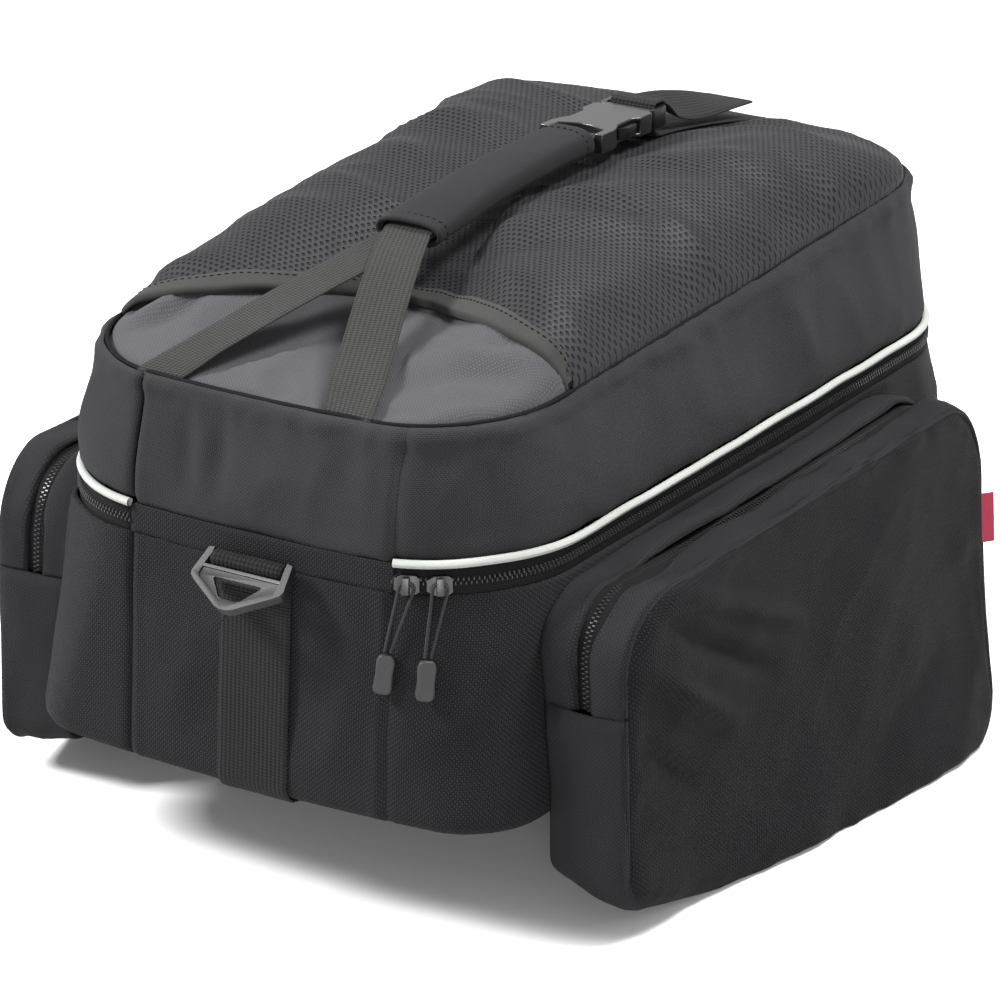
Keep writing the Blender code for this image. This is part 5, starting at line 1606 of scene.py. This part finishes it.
# Across a strap's section, from edge to edge: place, and how far its face sinks there
HALF_FACE = ((-1, 0.34), (-0.96, 0.08), (-0.82, 0.0), (-0.4, 0.04))
STRAP_FACE = (*HALF_FACE, (0, 0.05), *((-s, sink) for s, sink in reversed(HALF_FACE)))
STRAP_SMOOTHING = 3
FLUTTER = 0.0002
FLUTTERS = 45
CAP_SHARE = 0.98


def strap_piece(name, path, thickness, finish, node, step=0.0009):
    """A webbing strap: path holds the left and right edge of its outer face."""
    line = respaced(np.array(path), step)
    for _ in range(STRAP_SMOOTHING):
        line[1:-1] = line[1:-1] / 2 + line[:-2] / 4 + line[2:] / 4
    left, right = line[:, :3], line[:, 3:]
    centre = (left + right) / 2
    normal = np.cross(right - left, np.gradient(centre, axis=0))
    normal /= np.linalg.norm(normal, axis=1, keepdims=True)
    run = np.concatenate([[0], np.cumsum(np.linalg.norm(np.diff(centre, axis=0), axis=1))])
    width = np.linalg.norm(right - left, axis=1).mean()
    columns = [(s, sink * thickness) for s, sink in STRAP_FACE]
    columns += [(s, thickness * (1 - sink)) for s, sink in STRAP_FACE[::-1]]
    columns += columns[:1]
    rows = []
    for s, down in columns:
        flutter = np.array([noise.noise(Vector((way * FLUTTERS, s, len(name)))) for way in run])
        rows.append(mix(left, right, (s + 1) / 2) + normal * (flutter * FLUTTER - down)[:, None])
    rows = np.array(rows).transpose(1, 0, 2)
    caps = []
    for k in (0, -1):
        middle = [mix(left[k], right[k], (s + 1) / 2) - normal[k] * thickness / 2 for s, _ in columns]
        caps.append(mix(rows[k], np.array(middle), CAP_SHARE)[None])
    rows = np.concatenate([caps[0], rows, caps[1]])
    run = np.concatenate([run[:1], run, run[-1:]])
    uv = np.array([[(way, s * width / 2) for s, _ in columns] for way in run])
    piece = add_cloth(name, rows, finish, finish + "_webbing", uv=uv)
    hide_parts(node)


def dress_straps():
    low, high = -GAP / 2, GAP / 2 + STRAP_THICK
    left = v_strap_path(-1, low) + in_sleeve(low, 0.4)
    strap_piece("webbing_left", left, STRAP_THICK, "olive", "v_strap_left")
    right = v_strap_path(1, high) + in_sleeve(high, 1)
    round_bar = FOLD + STRAP_THICK
    for turn in range(90, -91, -15):
        angle = math.radians(turn)
        place = buckle_point(BAR_PLACE + round_bar * math.cos(angle), round_bar * math.sin(angle))
        right.append(crosswise(place, STRAP_WIDTH / 2))
    right.append(crosswise(buckle_point(-FOLD_END, -round_bar), STRAP_WIDTH / 2))
    strap_piece("webbing_right", right, STRAP_THICK, "olive", "v_strap_right")
    strap_piece("webbing_rear", rear_strap_path(), STRAP_THICK, "dark", "rear_strap", step=0.0006)
    half = FRONT_STRAP_WIDTH / 2
    edges = [front_strap_edge(FRONT_STRAP_SIDE + side * half) for side in (-1, 1)]
    path = np.concatenate(edges, axis=1)
    strap_piece("webbing_front", path, FRONT_STRAP_THICK, "dark", "ring_strap", step=0.0005)


# Fittings: the solids' own shapes with rounded edges

WELD = 0.00001
FLAT_ANGLE = math.radians(1)
BEVEL_SEGMENTS = 3
BEVEL_ANGLE = math.radians(25)
SHARP_ANGLE = math.radians(50)


def rounded_copy(node, finish, slot, edge, body="bag"):
    """A copy of a hard solid with its sharp edges rounded, in place of it."""
    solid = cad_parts[node]
    work = bmesh.new()
    work.from_mesh(solid.data)
    work.transform(solid.matrix_world)
    bmesh.ops.remove_doubles(work, verts=work.verts, dist=WELD)
    bmesh.ops.dissolve_limit(work, angle_limit=FLAT_ANGLE, verts=work.verts, edges=work.edges)
    mesh = bpy.data.meshes.new(node + "_finish")
    work.to_mesh(mesh)
    work.free()
    mesh.materials.clear()
    piece = add_piece(node + "_finish", mesh, finish, body, smooth=False)
    step = piece.modifiers.new("edges", "BEVEL")
    step.width = edge
    step.segments = BEVEL_SEGMENTS
    step.limit_method = "ANGLE"
    step.angle_limit = BEVEL_ANGLE
    mesh.shade_smooth()
    mesh.set_sharp_from_angle(angle=SHARP_ANGLE)
    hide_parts(node)
    return piece


CORDS = {
    "left": (
        (0.07648, -0.22291, 0.13571),
        (0.07741, -0.22221, 0.14109),
        (0.07862, -0.22129, 0.14810),
        (0.07935, -0.22074, 0.15239),
        (0.08056, -0.21982, 0.15941),
        (0.08149, -0.21912, 0.16478),
        (0.08181, -0.21872, 0.16647),
        (0.08288, -0.21807, 0.16770),
        (0.08442, -0.21733, 0.16815),
        (0.08600, -0.21670, 0.16770),
        (0.08721, -0.21636, 0.16647),
        (0.08772, -0.21639, 0.16478),
        (0.08615, -0.21735, 0.15960),
        (0.08394, -0.21869, 0.15231),
        (0.08259, -0.21952, 0.14784),
        (0.08039, -0.22086, 0.14056),
        (0.07882, -0.22182, 0.13537),
    ),
    "right": (
        (0.09423, -0.21768, 0.13492),
        (0.09443, -0.21684, 0.14035),
        (0.09471, -0.21572, 0.14766),
        (0.09488, -0.21502, 0.15214),
        (0.09516, -0.21390, 0.15945),
        (0.09536, -0.21306, 0.16488),
        (0.09555, -0.21256, 0.16656),
        (0.09640, -0.21163, 0.16779),
        (0.09769, -0.21052, 0.16824),
        (0.09906, -0.20952, 0.16779),
        (0.10016, -0.20890, 0.16656),
        (0.10069, -0.20883, 0.16488),
        (0.09991, -0.21009, 0.15958),
        (0.09880, -0.21188, 0.15208),
        (0.09812, -0.21298, 0.14747),
        (0.09701, -0.21477, 0.13996),
        (0.09623, -0.21604, 0.13466),
    ),
}
CORD = 0.0015


def dress_pulls():
    for word, knots in CORDS.items():
        tab = rounded_copy("pull_tab_" + word, "rubber", "grey_rubber", TAB_EDGE)
        line = smooth_line(knots, 4)
        mesh = tube("pull_loop_" + word, line - ORIGIN, CORD / 2, 10)
        piece = add_piece("pull_loop_" + word, mesh, "cord")
        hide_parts("pull_cord_" + word)


# Hard solids: finish, slot, width of the rounded edges, and the body where it isn't the bag
FITTINGS = {
    "buckle_female": ("plastic", "black_plastic", 0.0007),
    "buckle_male": ("prongs", "black_plastic", 0.0007),
    "slider_left": ("slider", "black_plastic", 0.0003),
    "slider_right": ("slider", "black_plastic", 0.0003),
    "ring": ("ring", "grey_plastic", 0.0005, "ring"),
    "side_label": ("crimson", "crimson_tab", 0.0003),
}
TAB_EDGE = 0.0009


def dress_fittings():
    for node, looks in FITTINGS.items():
        rounded_copy(node, *looks)
    dress_pulls()


add_camera()
add_floor()
add_studio()
dress_tub()
dress_front_rim()
dress_band()
dress_crown()
dress_top_seam_shadow()
dress_mesh_panel()
dress_binding()
dress_piping()
dress_main_zip()
for pocket_side in ((1, "right"), (-1, "left")):
    pocket_gusset(*pocket_side)
    pocket_face(*pocket_side)
    pocket_back(*pocket_side)
    pocket_welt(*pocket_side)
    pocket_zip(*pocket_side)
dress_sleeve()
dress_straps()
dress_fittings()
